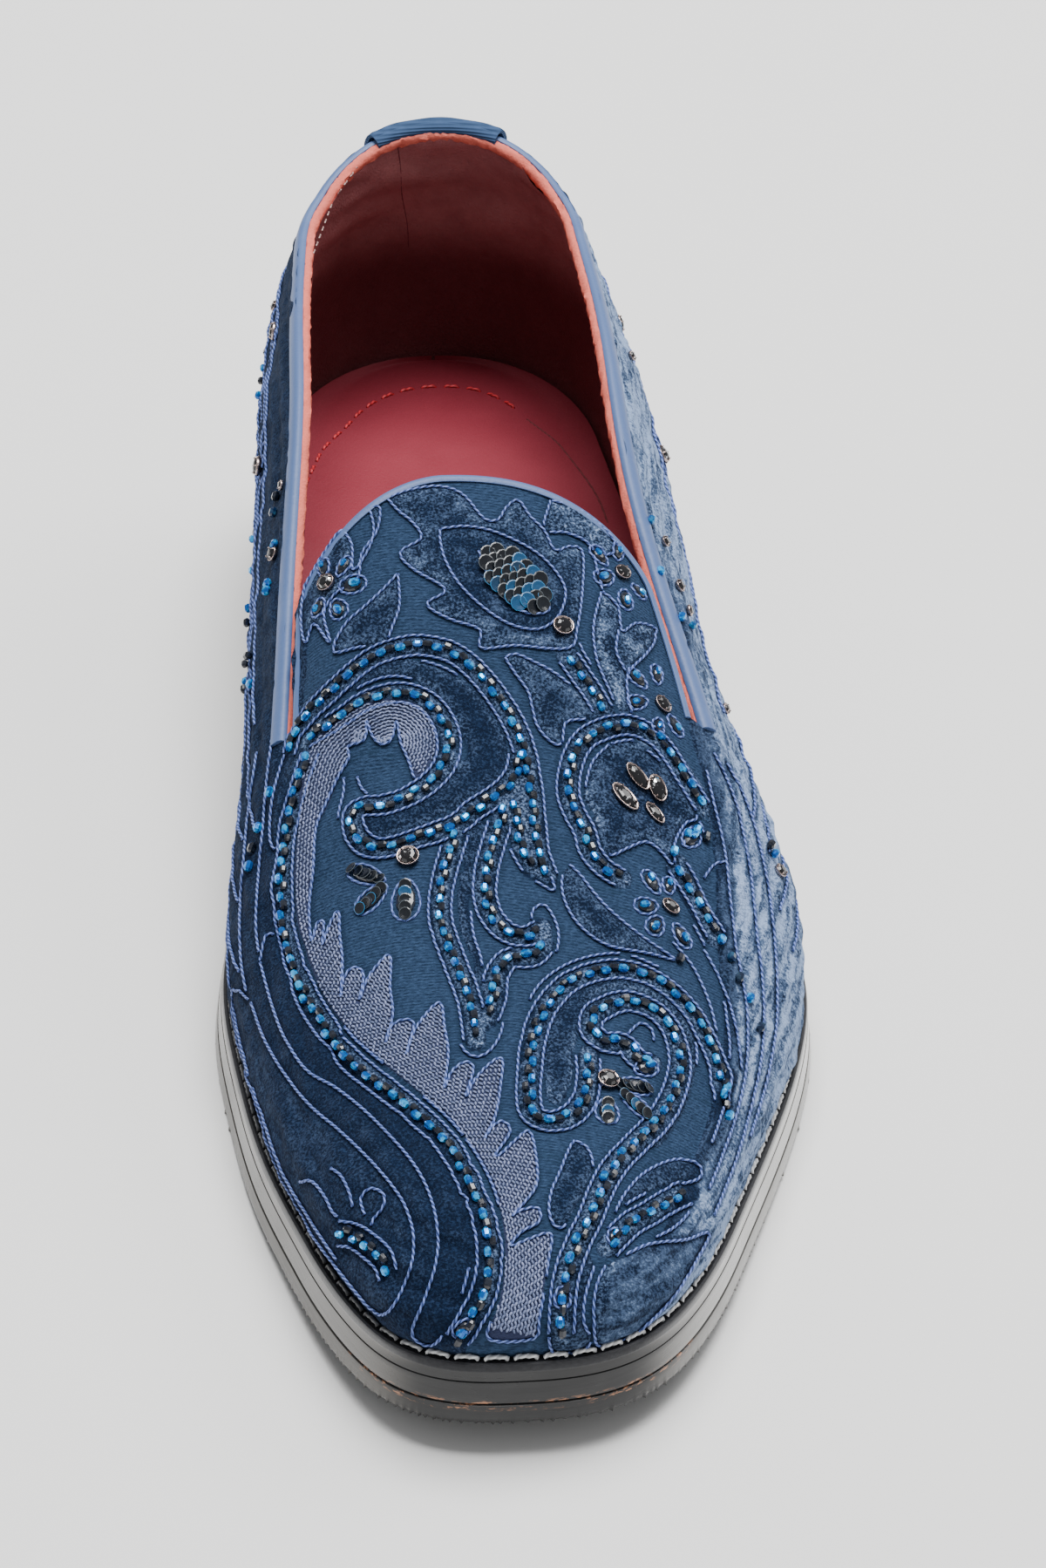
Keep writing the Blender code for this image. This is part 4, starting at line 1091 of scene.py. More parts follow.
# Painted shade beside the cords darkens the ground
weave = fabric.mix(drawn_in_and_shaded * 0.75, weave, (0.004, 0.014, 0.034))
cover = fabric.trait("velvet").between(0.35, 0.65)
nap = flecks * 0.6 + fabric.noise(1.4, 2.0) * 0.6
colour = fabric.mix(cover, weave, pile)
stitched = fabric.trait("feather").between(0.35, 0.65)
colour = fabric.mix(stitched, colour, (0.030, 0.038, 0.085))
height = cover * nap + (1.0 - cover) * (ribs * 0.2 + slub * 0.5)
fabric.wear(colour, cover * 0.10 + 0.82, height, 0.00022)
piece("upper_cloth", cloth, fabric, "upper_velvet", "upper")
CLOTH_TREE = tree_of(cloth)

# %% [markdown]
# ## Linings and bound edges
# Inside, the shoe is lined with soft burgundy kid, rougher and wrinkled where it grips the heel. The
# lining's salmon-coloured cut edge stands next to a folded strip of slate-blue kid that binds the
# collar. Both edges are one closed profile each, swept along the cut.


# %% Sweeps along the cut edges
def loft(rings, closed_ring=True):
    """Quads through rings of as many points each. Closed rings get a cap at either end."""
    rings = np.asarray(rings)
    count, size = rings.shape[:2]
    i, j = np.arange(count - 1)[:, None], np.arange(size if closed_ring else size - 1)[None, :]
    beside = (j + 1) % size
    quads = [i * size + j, (i + 1) * size + j, (i + 1) * size + beside, i * size + beside]
    faces = np.stack(np.broadcast_arrays(*quads), -1).reshape(-1, 4).tolist()
    if closed_ring:
        faces += [list(range(size))[::-1], [(count - 1) * size + k for k in range(size)]]
    return mend(new_mesh(rings.reshape(-1, 3), faces), merge=1e-6, outward=True, sharp=50)


def on_upper(station, side, turn):
    """Points of the upper, bowed like the tongue, and the normals there."""
    station, side, turn = (np.asarray(part, float) for part in (station, side, turn))
    moved = drawn_back(station, side, turn, slit_turn(station, side))
    return skin(moved, side, turn), skin_normal(moved, side, turn)


def edge_rings(path, profile, way, rough=0.0):
    """A closed profile of (into the leather, off its face) in millimetres along a cut edge."""
    place, normal = on_upper(*path)
    ahead = unit(np.gradient(place, axis=0))
    into = unit(np.cross(normal, ahead)) * way
    shape = np.array(profile) / 1000
    rings = place[:, None] + into[:, None] * shape[None, :, :1] + normal[:, None] * shape[None, :, 1:]
    return rings + rough * chance.normal(size=rings.shape)


def inner_then_outer(inner, outer):
    """Joins a row of the inner side, walked backwards to the heel, to its mate of the outer side."""
    return np.concatenate([inner[::-1], outer[1:]])


EDGE_SPACING, CROWN_POINTS = 0.0012, 60
back_half = fine_stations(EDGE_SPACING, 0, NOTCH)
flanks = np.full_like(back_half, INNER), np.full_like(back_half, OUTER)
COLLAR = [
    inner_then_outer(back_half, back_half),
    inner_then_outer(*flanks),
    inner_then_outer(*(topline_turn(back_half, flank) for flank in flanks)),
]
slit_half = fine_stations(EDGE_SPACING, CORNER, NOTCH)
corner = np.full(CROWN_POINTS, float(CORNER))
inner_slit, outer_slit = (slit_turn(slit_half, np.full_like(slit_half, side)) for side in (INNER, OUTER))
over = np.linspace(inner_slit[0], 1, CROWN_POINTS), np.linspace(1, outer_slit[0], CROWN_POINTS)[1:]
TONGUE = [
    np.concatenate([slit_half[:0:-1], corner, corner[1:], slit_half[1:]]),
    np.repeat([INNER, OUTER], [len(slit_half) + len(part) - 1 for part in over]),
    np.concatenate([inner_slit[:0:-1], *over, outer_slit[1:]]),
]
COLLAR_BINDING = [
    (3.0, 0.20), (3.1, 0.62), (2.7, 0.90), (1.6, 1.02), (0.5, 0.95), (-0.2, 0.62), (-0.5, 0.0),
    (-0.45, -0.55), (-0.2, -0.72), (0.3, -0.4), (0.8, 0.05),
]
TONGUE_BINDING = [
    (1.4, 0.15), (1.45, 0.45), (0.9, 0.68), (0.2, 0.62), (-0.25, 0.20), (-0.42, -0.5), (-0.42, -1.3),
    (-0.2, -2.0), (0.4, -2.5), (1.2, -2.6), (1.2, -2.3), (0.4, -1.6), (0.3, 0.0),
]
RAW_EDGE = [
    (-0.1, -0.60), (-0.42, -0.85), (-0.50, -1.5), (-0.30, -2.2), (0.3, -2.62), (1.2, -2.68),
    (1.55, -2.4), (1.2, -2.05), (0.2, -1.7),
]
FRAY = 0.00011

kid = Finish("slate_kid", Roughness=0.5, Specular_IOR_Level=0.4)
grain = kid.noise(0.7, 3.0, 0.6)
rubbed = kid.noise(14.0, 2.0, 0.6).between(0.50, 0.75)
kid_colour = kid.mix(rubbed * 0.5 + grain * 0.25, (0.070, 0.122, 0.280), (0.120, 0.185, 0.360))
kid.wear(kid_colour, grain * 0.14 + 0.42, grain, 0.00008)
salmon = Finish("raw_lining_edge", Roughness=0.8, Specular_IOR_Level=0.2)
fluff = salmon.noise(0.5, 3.0, 0.65)
salmon.wear(salmon.mix(fluff, (0.60, 0.110, 0.078), (0.88, 0.220, 0.165)), height=fluff, depth=0.0002)

rings = edge_rings(COLLAR, COLLAR_BINDING, 1)
piece("collar_binding", loft(rings), kid, "binding_leather", "binding_collar")
rings = edge_rings(TONGUE, TONGUE_BINDING, -1)
piece("tongue_binding", loft(rings), kid, "binding_leather", "binding_tongue")
rings = edge_rings(COLLAR, RAW_EDGE, 1, FRAY)
piece("lining_edge", loft(rings), salmon, "lining_leather")

# %% Line the inside
WRINKLE, SLACK, FREE_FROM_SOLE = 0.0019, 0.0005, 12
lining = shell(spacing=0.0022, wall=26, gap=2, crown=22, out=-UPPER_WALL - 0.0001)
lining.flip_normals()
inside, inwards = coordinates(lining), normals(lining)
back = ease((inside[:, 1] - 0.085) / 0.035) * ease((inside[:, 2] - 0.056) / 0.018)
folds = WRINKLE * wobble(inside, (60, 60, 190)) * back + SLACK * wobble(inside, 45)
folds *= ease(trait(lining, "girth") / FREE_FROM_SOLE)
move_points(lining, inside + inwards * folds[:, None])
trait(lining, "grip", back)
burgundy = Finish("burgundy_lining", Roughness=0.75, Specular_IOR_Level=0.2)
grip = burgundy.trait("grip")
pores = burgundy.noise(0.5, 3.0, 0.6)
scuffed = burgundy.noise(9.0, 4.0, 0.65)
smooth_kid = burgundy.mix(scuffed, (0.115, 0.026, 0.031), (0.190, 0.048, 0.054))
suede = burgundy.mix(scuffed, (0.270, 0.076, 0.082), (0.580, 0.225, 0.225))
burgundy.wear(burgundy.mix(grip, smooth_kid, suede), grip * 0.25 + 0.60, pores + scuffed, 0.0005)
piece("lining", lining, burgundy, "lining_leather")


# %% Elastic gores and the back tab
def two_faced(outer, inner):
    """A closed sheet between two grids of points."""
    return loft(np.concatenate([outer, inner[:, ::-1]], axis=1))


GORE_LAP, GORE_THICK, GORE_COLUMNS, RIB_HEIGHT = 0.005, 0.001, 34, 0.00018
elastic = Finish("gore_elastic", Roughness=0.85)
knit = elastic.noise(0.35, 2.0, 0.6)
elastic.wear(elastic.mix(knit, (0.006, 0.008, 0.014), (0.030, 0.038, 0.062)), height=knit, depth=0.00015)
station = np.append(slit_half, NOTCH + 0.9)
held = np.minimum(station, float(NOTCH))
share = np.linspace(0, 1, GORE_COLUMNS)
for name, way in (("medial", INNER), ("lateral", OUTER)):
    flank = np.full_like(station, way)
    low, high = topline_turn(station, flank), slit_turn(station, flank)
    reach = np.linalg.norm(skin(held, flank, high) - skin(held, flank, low), axis=1) / (high - low)
    turn = (low - GORE_LAP / reach)[:, None] * (1 - share) + (high + GORE_LAP / reach)[:, None] * share
    grid = np.repeat(station[:, None], GORE_COLUMNS, 1)
    flank = np.full_like(grid, way)
    spot, normal = skin(grid, flank, turn), skin_normal(grid, flank, turn)
    ridged = RIB_HEIGHT * np.sin(share * GORE_COLUMNS * math.pi * 0.62)[None, :, None]
    under = UPPER_WALL + JOINT_GAP
    gore = two_faced(spot - normal * (under + 0.0002 - ridged), spot - normal * (under + GORE_THICK))
    piece("elastic_" + name, gore, elastic, "gore_elastic", "gore_" + name)

TAB_ROWS = [
    # above the cut edge, off the last, in millimetres
    (-1.0, -0.75), (0.2, -1.05), (1.0, -0.7), (1.45, 0.2), (1.35, 1.3), (0.7, 2.1), (-0.8, 2.45),
    (-2.6, 2.35), (-4.2, 1.9), (-6.0, 1.5), (-10.0, 1.4), (-15.0, 1.4), (-20.0, 1.4), (-25.0, 1.4),
    (-28.5, 1.45), (-29.8, 1.25),
]
TAB_STATIONS, TAB_CLOTH = 3.05, 0.9
stations = np.linspace(-1, 1, 31)
station, flank = np.abs(stations) * TAB_STATIONS, np.where(stations < 0, INNER, OUTER)
outer, inner = [], []
for above, off in smooth(TAB_ROWS, 0.7):
    turn = topline_turn(station, flank, above / 1000)
    spot, normal = skin(station, flank, turn), skin_normal(station, flank, turn)
    hem = 0.25 * np.exp(-(((np.abs(stations) - 0.93) / 0.05) ** 2)) + 0.12 * np.sin(stations * 9 + above)
    outer.append(spot + normal * ((off + hem) / 1000)[:, None])
    inner.append(spot + normal * (off - TAB_CLOTH) / 1000)
tabby = Finish("tab_cloth", Roughness=0.8, Specular_IOR_Level=0.2)
reps = (tabby.axis("Z") * 11.0).sine() * 0.5 + 0.5
worn = tabby.noise(2.5, 3.0, 0.6)
tab_colour = tabby.mix(reps * 0.4 + worn * 0.6, (0.014, 0.036, 0.080), (0.055, 0.105, 0.225))
tabby.wear(tab_colour, height=reps + worn * 0.5, depth=0.00012)
piece("back_tab_cloth", two_faced(np.array(outer), np.array(inner)), tabby, "tab_cloth", "back_tab")

# %% [markdown]
# ## Sole, welt and heel
# The sole is three layers cut to one outline: a rubber outsole, a midsole and the welt that the upper
# is stitched to. Their edges are trimmed and waxed as one slanting wall, with a fine groove at each
# joint. The rubber's lower rim has small points all round, and its underside fine ribs.


# %% Sweeps round the sole
def both_edges(station, inset):
    """The inner and the outer edge of the sole in plan, moved in by a length."""
    inset = np.zeros(len(station)) + inset
    return [inset_edge(station, np.full(len(station), side), inset)[0] for side in (INNER, OUTER)]


def sole_wall(profile, spacing=0.0010, pointed=False, cap=True):
    """Rings of (inset, lift) in millimetres round the sole, closed below and above by strips across it."""
    station = fine_stations(spacing)
    side = np.repeat([INNER, OUTER], [len(station), len(station) - 2])
    station = np.concatenate([station, station[-2:0:-1]])
    count = len(station)
    rings = []
    for inset, lift in profile:
        spot, _ = inset_edge(station, side, np.zeros(count) + inset / 1000)
        rings.append(np.column_stack([spot, tread_height(spot[:, 1]) + lift / 1000]))
    if pointed:
        pull_points(rings, station, inset_edge(station, side, np.zeros(count))[1])
    last = (len(rings) - 1) * count
    faces = tube_faces(len(rings), count)[:-2]
    if cap:
        half = count // 2
        strips = [(0, 1, count - 1), (half - 1, half, half + 1)]
        strips += [(i, i + 1, count - i - 1, count - i) for i in range(1, half - 1)]
        faces += strips + [tuple(last + i for i in strip) for strip in strips]
    else:
        faces += [(last + i, last + (i + 1) % count, (i + 1) % count, i) for i in range(count)]
    return mend(new_mesh(np.concatenate(rings), faces), outward=True, sharp=35)


def pull_points(rings, station, normal):
    """Pulls single points of the lower rim outwards, closer together at the toe."""
    at = 4
    while at < len(station) - 4:
        size = chance.uniform(0.15, 0.55) / 1000
        for level, share in ((2, 1.0), (3, 0.35)):
            rings[level][at, :2] += normal[at] * size * share
        rings[2][at, 2] -= 0.00015
        at += int(chance.integers(3, 7) if station[at] > 34 else chance.integers(10, 42))


OUTSOLE = [
    (5.0, 0.5), (4.4, 0.02), (0.35, 0.25), (0.10, 0.75), (0.12, 1.3), (0.30, 2.6), (0.52, 3.75),
    (0.95, 3.95),
]
MIDSOLE = [(1.2, 4.05), (0.68, 4.25), (0.66, 4.6), (0.80, 5.6), (1.05, 7.4), (1.18, 8.42), (1.45, 8.53)]
WELT = [
    (6.0, 8.58), (1.60, 8.60), (1.28, 8.72), (1.36, 10.6), (1.45, 11.5), (1.70, 12.05), (2.15, 12.2),
    (2.60, 12.05), (3.00, 12.15), (6.0, 12.2),
]
outsole_mesh = sole_wall(OUTSOLE, 0.00042, pointed=True)
midsole_mesh, welt_mesh = sole_wall(MIDSOLE), sole_wall(WELT, cap=False)
for mesh in (outsole_mesh, midsole_mesh, welt_mesh):
    layer = coordinates(mesh)
    trait(mesh, "lift", (layer[:, 2] - tread_height(layer[:, 1])) * 1000)
    trait(mesh, "flank", ease((np.abs(normals(mesh)[:, 0]) - 0.35) / 0.5))


# %% Finish the edges
def edge_finish(name, dark=(0.014, 0.014, 0.015), light=(0.052, 0.052, 0.052), gloss=1.0):
    """Waxed or rubber edge: streaks along it, dull patches, bright rubs at the toe's lower joint, and
    flanks painted paler as painted reflection and painted light.
    """
    finish = Finish(name, Specular_IOR_Level=0.3, Coat_Roughness=0.10, Coat_IOR=2.1)
    streaks = finish.noise(6.0, 3.0, 0.7, (0.2, 0.2, 4.0))
    dull = finish.noise(18.0, 3.0, 0.6).between(0.35, 0.75)
    lift = finish.trait("lift")
    joint = lift.between(2.6, 3.3) * (1.0 - lift.between(4.4, 5.0))
    at_toe = (finish.axis("Y") * -1.0).between(133.0, 143.0)
    rub = finish.noise(2.4, 4.0, 0.7, (1.0, 1.0, 5.0)).between(0.52, 0.64) * joint * at_toe
    colour = finish.mix(streaks * 0.6 + dull * 0.4, dark, light)
    colour = finish.mix(lift.between(0.3, 1.3), (0.006, 0.006, 0.006), colour)
    # The flanks are painted paler, warm on the inner side and pale grey on the outer: painted reflection of
    # the floor and painted light from the right
    flank = finish.trait("flank")
    flank = flank * flank
    outer = finish.axis("X").between(0.0, 40.0)
    painted_side_light = finish.mix(outer, (0.050, 0.040, 0.026), (0.190, 0.180, 0.160))
    colour = finish.mix(flank * 0.75, colour, painted_side_light)
    colour = finish.mix(rub * 0.85, colour, (0.55, 0.26, 0.14))
    finish.put(finish.shader, {"Coat Weight": flank * (outer * 0.50 + 0.50) * gloss})
    return finish, colour, dull * 0.14 + streaks * 0.10 + 0.16, streaks


waxed, edge_colour, polish, streaks = edge_finish("waxed_edge")
waxed.wear(edge_colour, polish, streaks, 0.00006)
rubber_tones = (0.012, 0.012, 0.013), (0.045, 0.045, 0.045)
rubber, edge_colour, polish, streaks = edge_finish("sole_rubber", *rubber_tones, 0.7)
rubber.wear(edge_colour, polish + 0.06, streaks, 0.00008)
black, edge_colour, polish, streaks = edge_finish("welt_leather")
hide = black.noise(0.8, 3.0, 0.6)
on_top = black.trait("lift").between(10.5, 11.0)
hide_colour = black.mix(hide, (0.008, 0.008, 0.010), (0.034, 0.035, 0.040))
black.wear(black.mix(on_top, edge_colour, hide_colour), polish + on_top * 0.25, hide * on_top, 0.00012)
piece("sole_rubber", outsole_mesh, rubber, "outsole_rubber", "outsole")
piece("sole_midsole", midsole_mesh, waxed, "sole_edge", "midsole")
piece("sole_welt", welt_mesh, black, "welt_leather", "welt")


# %% Ribs under the sole
def sheet_across(station, inset, columns, lift):
    """A grid of points from the inner side to the outer. lift gives their height over the tread."""
    left, right = both_edges(station, inset)
    share = np.linspace(0, 1, columns)[None, :, None]
    spots = left[:, None] * (1 - share) + right[:, None] * share
    height = tread_height(spots[..., 1]) + lift(spots, share[..., 0] * np.ones((len(station), 1)))
    return np.concatenate([spots, height[..., None]], -1)


def rib_lift(spots, share):
    wave = np.sin(spots[..., 1] * 2 * math.pi / RIB_PITCH) * 0.5 + 0.5
    return 0.00045 - 0.00035 * ease(wave * 2 - 0.5)


RIB_PITCH, RIB_INSET = 0.0034, 0.0048
ribbed = sheet_across(np.linspace(BREAST - 0.6, LAST - 0.35, 900), RIB_INSET, 26, rib_lift)
piece("sole_ribs", loft(ribbed, closed_ring=False), rubber, "outsole_rubber")

# %% The heel
HEEL_STEP, HEEL_TAPER, BREAST_HOLLOW = 0.0012, 0.0022, 0.0045
TOP_LIFT = [(0.7, 0.0), (0.1, 0.35), (0.0, 0.8), (0.0, 5.6), (0.2, 6.1)]
LIFTS = [
    (0.3, 6.4), (0.05, 6.7), (0.0, 9.9), (0.18, 10.1), (0.0, 10.3), (0.0, 13.9), (0.18, 14.1),
    (0.0, 14.3), (0.0, 17.6), (0.3, 18.1),
]


def heel_ring(height, extra):
    station = fine_stations(0.0015, 0, BREAST)
    inner, outer = both_edges(station, HEEL_STEP + HEEL_TAPER * (1 - height / HEEL_HEIGHT) + extra)
    share = np.linspace(0, 1, 32)[1:-1, None]
    hollow = (BREAST_HOLLOW + extra) * (1 - (2 * share - 1) ** 2)
    breast = inner[-1] + (outer[-1] - inner[-1]) * share + hollow * np.array([0.0, 1.0])
    ring = np.concatenate([inner, breast, outer[:0:-1]])
    return np.column_stack([ring, np.full(len(ring), height)])


for name, profile, finish, slot, node in (
    ("heel_top_lift", TOP_LIFT, rubber, "heel_rubber", "heel_top_piece"),
    ("heel_lifts", LIFTS, waxed, "heel_edge", "heel_stack"),
):
    rings = [heel_ring(height / 1000, extra / 1000) for extra, height in profile]
    piece(name, loft(rings), finish, slot, node)


# %% The insole
def cupped(spots, share):
    near_edge = np.minimum(share, 1 - share) * 0.07
    return STACK + INSOLE_RISE - 0.0006 + 0.0011 * ease(1 - near_edge / 0.007)


SOCK_THICK = 0.0035
seat = UPPER_WALL + WELT_LAP + 0.0002
heel_tries = np.linspace(0.05, 4, 200)
heel_row, _ = both_edges(heel_tries, feather_inset(heel_tries) + seat)
station = np.linspace(heel_tries[np.argmax(heel_row[:, 1])], LAST - 0.15, 420)
top_face = sheet_across(station, feather_inset(station) + seat, 48, cupped)
sock_mesh = two_faced(top_face, top_face - np.array([0, 0, SOCK_THICK]))
sock = Finish("insole_sock", Roughness=0.6, Specular_IOR_Level=0.3)
polish = sock.noise(22.0, 3.0, 0.6)
fine = sock.noise(0.6, 3.0, 0.6)
sock_colour = sock.mix(polish * 0.7 + fine * 0.3, (0.190, 0.016, 0.028), (0.285, 0.030, 0.049))
sock.wear(sock_colour, polish * 0.2 + 0.45, fine, 0.00010)
piece("insole_sock", sock_mesh, sock, "insole_sock", "insole")

# %% [markdown]
# ## Laying thread and beads
# A path picked on the chart is sent from the camera to the cloth, where it keeps the cloth's own normals.
# Small things are not separate objects: each kind is one mesh, made from arrays of copies.


# %% Paths on the cloth
def blurred(values, passes=2):
    for _ in range(passes):
        padded = np.vstack([values[:1], values, values[-1:]])
        values = (padded[:-2] + 2 * padded[1:-1] + padded[2:]) / 4
    return values


def settled(spots, outs):
    """A path on the cloth with its points and its normals evened out a little."""
    return blurred(spots), unit(blurred(outs, 4))


def nearest(points):
    """The closest places on the cloth, and its normals there."""
    found = [CLOTH_TREE.find_nearest(Vector(point))[:2] for point in points]
    return np.array([hit for hit, _ in found]), np.array([normal for _, normal in found])


# Metres to the first place looked at, how edge-on counts as grazing, and how often such a path is evened
FIRST_DEPTH, GRAZING, EVENING = 0.78, (0.40, 0.22), 110


def lay(places, tree=CLOTH_TREE):
    """Where places of the chart fall on the cloth. Past its silhouette they fall on the nearest cloth."""
    spots, outs, depth = [], [], FIRST_DEPTH
    for way in photo_rays(places):
        hit, normal, _, far = tree.ray_cast(Vector(EYE), Vector(way))
        if hit is None or normal.dot(Vector(way)) > 0:
            for _ in range(4):
                hit, normal, _, _ = tree.find_nearest(Vector(EYE + way * depth))
                depth = (np.array(hit) - EYE) @ way
        else:
            depth = far
        spots.append(hit)
        outs.append(normal)
    return np.array(spots), np.array(outs)


def lay_curve(places, step=1.25):
    """A curve of the chart on the cloth. Where the cloth turns edge-on to the camera it is evened out."""
    spots, outs = lay(smooth(places, step))
    loose = ease((GRAZING[0] - (unit(EYE - spots) * outs).sum(1)) / GRAZING[1])[:, None]
    if loose.max() > 0:
        spots, outs = nearest(spots * (1 - loose) + blurred(spots, EVENING) * loose)
    return settled(spots, outs)


walked = fine_stations(0.001)
WALK = run_of(edge_point(walked, OUTER)) * 1000


def lay_quarter(flank, places, step=0.42):
    """A smooth path charted on a quarter, in millimetres from the back of the heel and up from the welt."""
    chart = smooth(places, step)
    station = np.interp(chart[:, 0], WALK, walked)
    turns = np.linspace(0, 1, 50)
    grid = np.repeat(station[:, None], 50, 1)
    arches = skin(grid, np.full_like(grid, flank), np.repeat(turns[None], len(chart), 0))
    turn = np.array([np.interp(up, run_of(arch) * 1000, turns) for up, arch in zip(chart[:, 1], arches)])
    return settled(*nearest(skin(station, np.full_like(station, flank), turn)))


def frames(path, outs):
    """Ahead, sideways and up along a path on the cloth."""
    ahead = unit(np.gradient(path, axis=0))
    beside = unit(np.cross(ahead, outs))
    return ahead, beside, np.cross(beside, ahead)


def beside_path(path, outs, distance):
    _, beside, _ = frames(path, outs)
    return settled(*nearest(path + beside * distance))


# %% Cords and copies
def cords_mesh(strands, sides=6, twist=0.0014):
    """Two-ply cords along paths on the cloth, as one mesh. The trait ply is low in the groove."""
    points, faces, plies, start = [], [], [], 0
    angle = 2 * np.pi * np.arange(sides) / sides
    for path, outs, radius in strands:
        _, beside, up = frames(path, outs)
        lobe = np.cos(2 * (angle[None] - np.pi * run_of(path)[:, None] / twist))
        wide = radius * (1 + 0.20 * lobe)[..., None]
        ring = np.cos(angle)[None, :, None] * beside[:, None] + np.sin(angle)[None, :, None] * up[:, None]
        points.append((path[:, None] + up[:, None] * radius * 0.55 + ring * wide).reshape(-1, 3))
        plies.append(lobe.ravel())
        faces += tube_faces(len(path), sides, start)
        start += len(path) * sides
    mesh = new_mesh(np.concatenate(points), faces)
    mesh.shade_smooth()
    trait(mesh, "ply", np.concatenate(plies) * 0.5 + 0.5)
    return mesh


def copies_mesh(shape, spots, axes, tones=None, flat=True):
    """Copies of a small shape at spots. axes holds each copy's three axes, as long as it is big."""
    verts, polygons = shape
    spots, axes = np.asarray(spots), np.asarray(axes)
    points = spots[:, None] + np.einsum("vk,nkd->nvd", verts, axes)
    offsets = np.arange(len(spots)) * len(verts)
    faces = [[offset + corner for corner in face] for offset in offsets.tolist() for face in polygons]
    mesh = new_mesh(points.reshape(-1, 3), faces)
    if not flat:
        mesh.shade_smooth()
    if tones is not None:
        trait(mesh, "tone", np.repeat(tones, len(verts)))
    return mesh


def turned_shape(profile, sides):
    """A solid of revolution about its first axis from (along, radius) pairs, with flat ends."""
    angle = 2 * np.pi * np.arange(sides) / sides
    verts = np.array([(x, r * math.cos(a), r * math.sin(a)) for x, r in profile for a in angle])
    return verts, tube_faces(len(profile), sides)


BEAD = turned_shape([(-0.5, 0.26), (-0.27, 0.47), (0.27, 0.47), (0.5, 0.26)], 7)
STITCH = turned_shape([(-0.5, 0.05), (-0.22, 0.42), (0.22, 0.42), (0.5, 0.05)], 5)
CUT = turned_shape([(-0.30, 0.70), (-0.10, 1.0), (0.08, 0.98), (0.32, 0.74), (0.42, 0.42)], 8)
CUP = turned_shape([(-0.45, 0.75), (-0.38, 1.04), (0.02, 1.12), (0.08, 1.06), (-0.10, 0.98)], 16)
CLAW = turned_shape([(-0.30, 0.10), (0.16, 0.12), (0.30, 0.10), (0.36, 0.05)], 6)
SEQUIN = turned_shape([(-0.10, 0.95), (0.05, 1.0), (0.12, 0.86), (-0.02, 0.42)], 12)
DROP = turned_shape([(-0.20, 0.85), (0.10, 1.0), (0.34, 0.82), (0.46, 0.45)], 10)

# %% [markdown]
# ## Couched cord
# Each velvet outline and each flowing line is a twisted pale cord, stitched down along its length. It
# is a tube with two lobes that turn along it, so that light catches every ply, and its colour is darker
# in the groove between them as painted shade. Where two charted lines run into each other only the first
# is laid, and the cloth is drawn in a little under every cord and darkened beside it as painted shade.

# %% Lay the cords
THICK, THIN, CORD_OFF_BEADS, DRAWN_IN = 0.00027, 0.00025, 0.0021, 0.00022
BEAD_PITCH, LOOSE_PITCH = 0.00178, 0.0046
ROW_ROOM, LINE_ROOM, BAND_ROOM, SHORTEST = 0.0015, 0.00125, 0.0011, 9


def point_tree(points):
    tree = kdtree.KDTree(len(points))
    for number, spot in enumerate(points):
        tree.insert(spot, number)
    tree.balance()
    return tree


def thinned(lines, kept, room):
    """Leaves out the stretches of each line that run closer than room to what is already laid."""
    for path, outs, radius in lines:
        tree = point_tree(kept)
        free = np.array([tree.find(spot)[2] > room for spot in path])
        cuts = np.flatnonzero(np.diff(np.concatenate([[0], free, [0]])))
        for first, last in zip(cuts[::2], cuts[1::2]):
            if last - first > SHORTEST:
                stretch = slice(max(first - 2, 0), last + 2)
                yield path[stretch], outs[stretch], radius
        kept.extend(path[free])


bead_paths = [(*lay_curve(places), BEAD_PITCH) for places in BEAD_ROWS]
laid = [spot for path, _, _ in bead_paths for spot in path]
row_sides = [
    (*beside_path(path, outs, distance), THIN)
    for path, outs, _ in bead_paths
    for distance in (-CORD_OFF_BEADS, CORD_OFF_BEADS)
]
row_strands = list(thinned(row_sides, laid, ROW_ROOM))
closed_lines = [closed(outline) for _, outline in VELVET.values()] + [closed(FEATHER)]
drawn = [(*lay_curve(places), THIN) for places in closed_lines + CORDS]
strands = list(thinned(drawn, laid, LINE_ROOM))
bands = []
for flank in (INNER, OUTER):
    for places in QUARTER_CORDS:
        bands.append((*lay_quarter(flank, [(0, places[0][1])] + places[1:]), THICK))
    bead_paths.append((*lay_quarter(flank, QUARTER_BEADS), LOOSE_PITCH))
    for shift in (-2.2, 2.2):
        shifted = [(along, up + shift) for along, up in QUARTER_BEADS]
        bands.append((*lay_quarter(flank, shifted), THIN))
    for along, up in QUARTER_CURLS:
        turn = np.linspace(0.4, 3.4 * math.pi, 30)
        wide = 4.2 * turn / turn.max() + 0.8
        curl = np.column_stack([along + wide * np.cos(turn) * 1.5, up + wide * np.sin(turn) * 0.75])
        bands.append((*lay_quarter(flank, curl.tolist()), THIN))
quarter_strands = list(thinned(bands, laid, BAND_ROOM))
cord_tree = point_tree(np.concatenate([path for path, _, _ in strands + row_strands + quarter_strands]))
lain = coordinates(cloth)
# Close to every cord the cloth is drawn in, and the same number darkens its colour there as painted shade
drawn_in_and_shaded = np.array([math.exp(-((cord_tree.find(spot)[2] / 0.0007) ** 2)) for spot in lain])
move_points(cloth, lain - outward * (drawn_in_and_shaded * DRAWN_IN)[:, None])
trait(cloth, "drawn_in_and_shaded", drawn_in_and_shaded)
cord = Finish("couched_cord", Roughness=0.55, Specular_IOR_Level=0.3)
ply = cord.trait("ply")
soil = cord.noise(9.0, 3.0, 0.6).between(0.45, 0.75) * 0.5
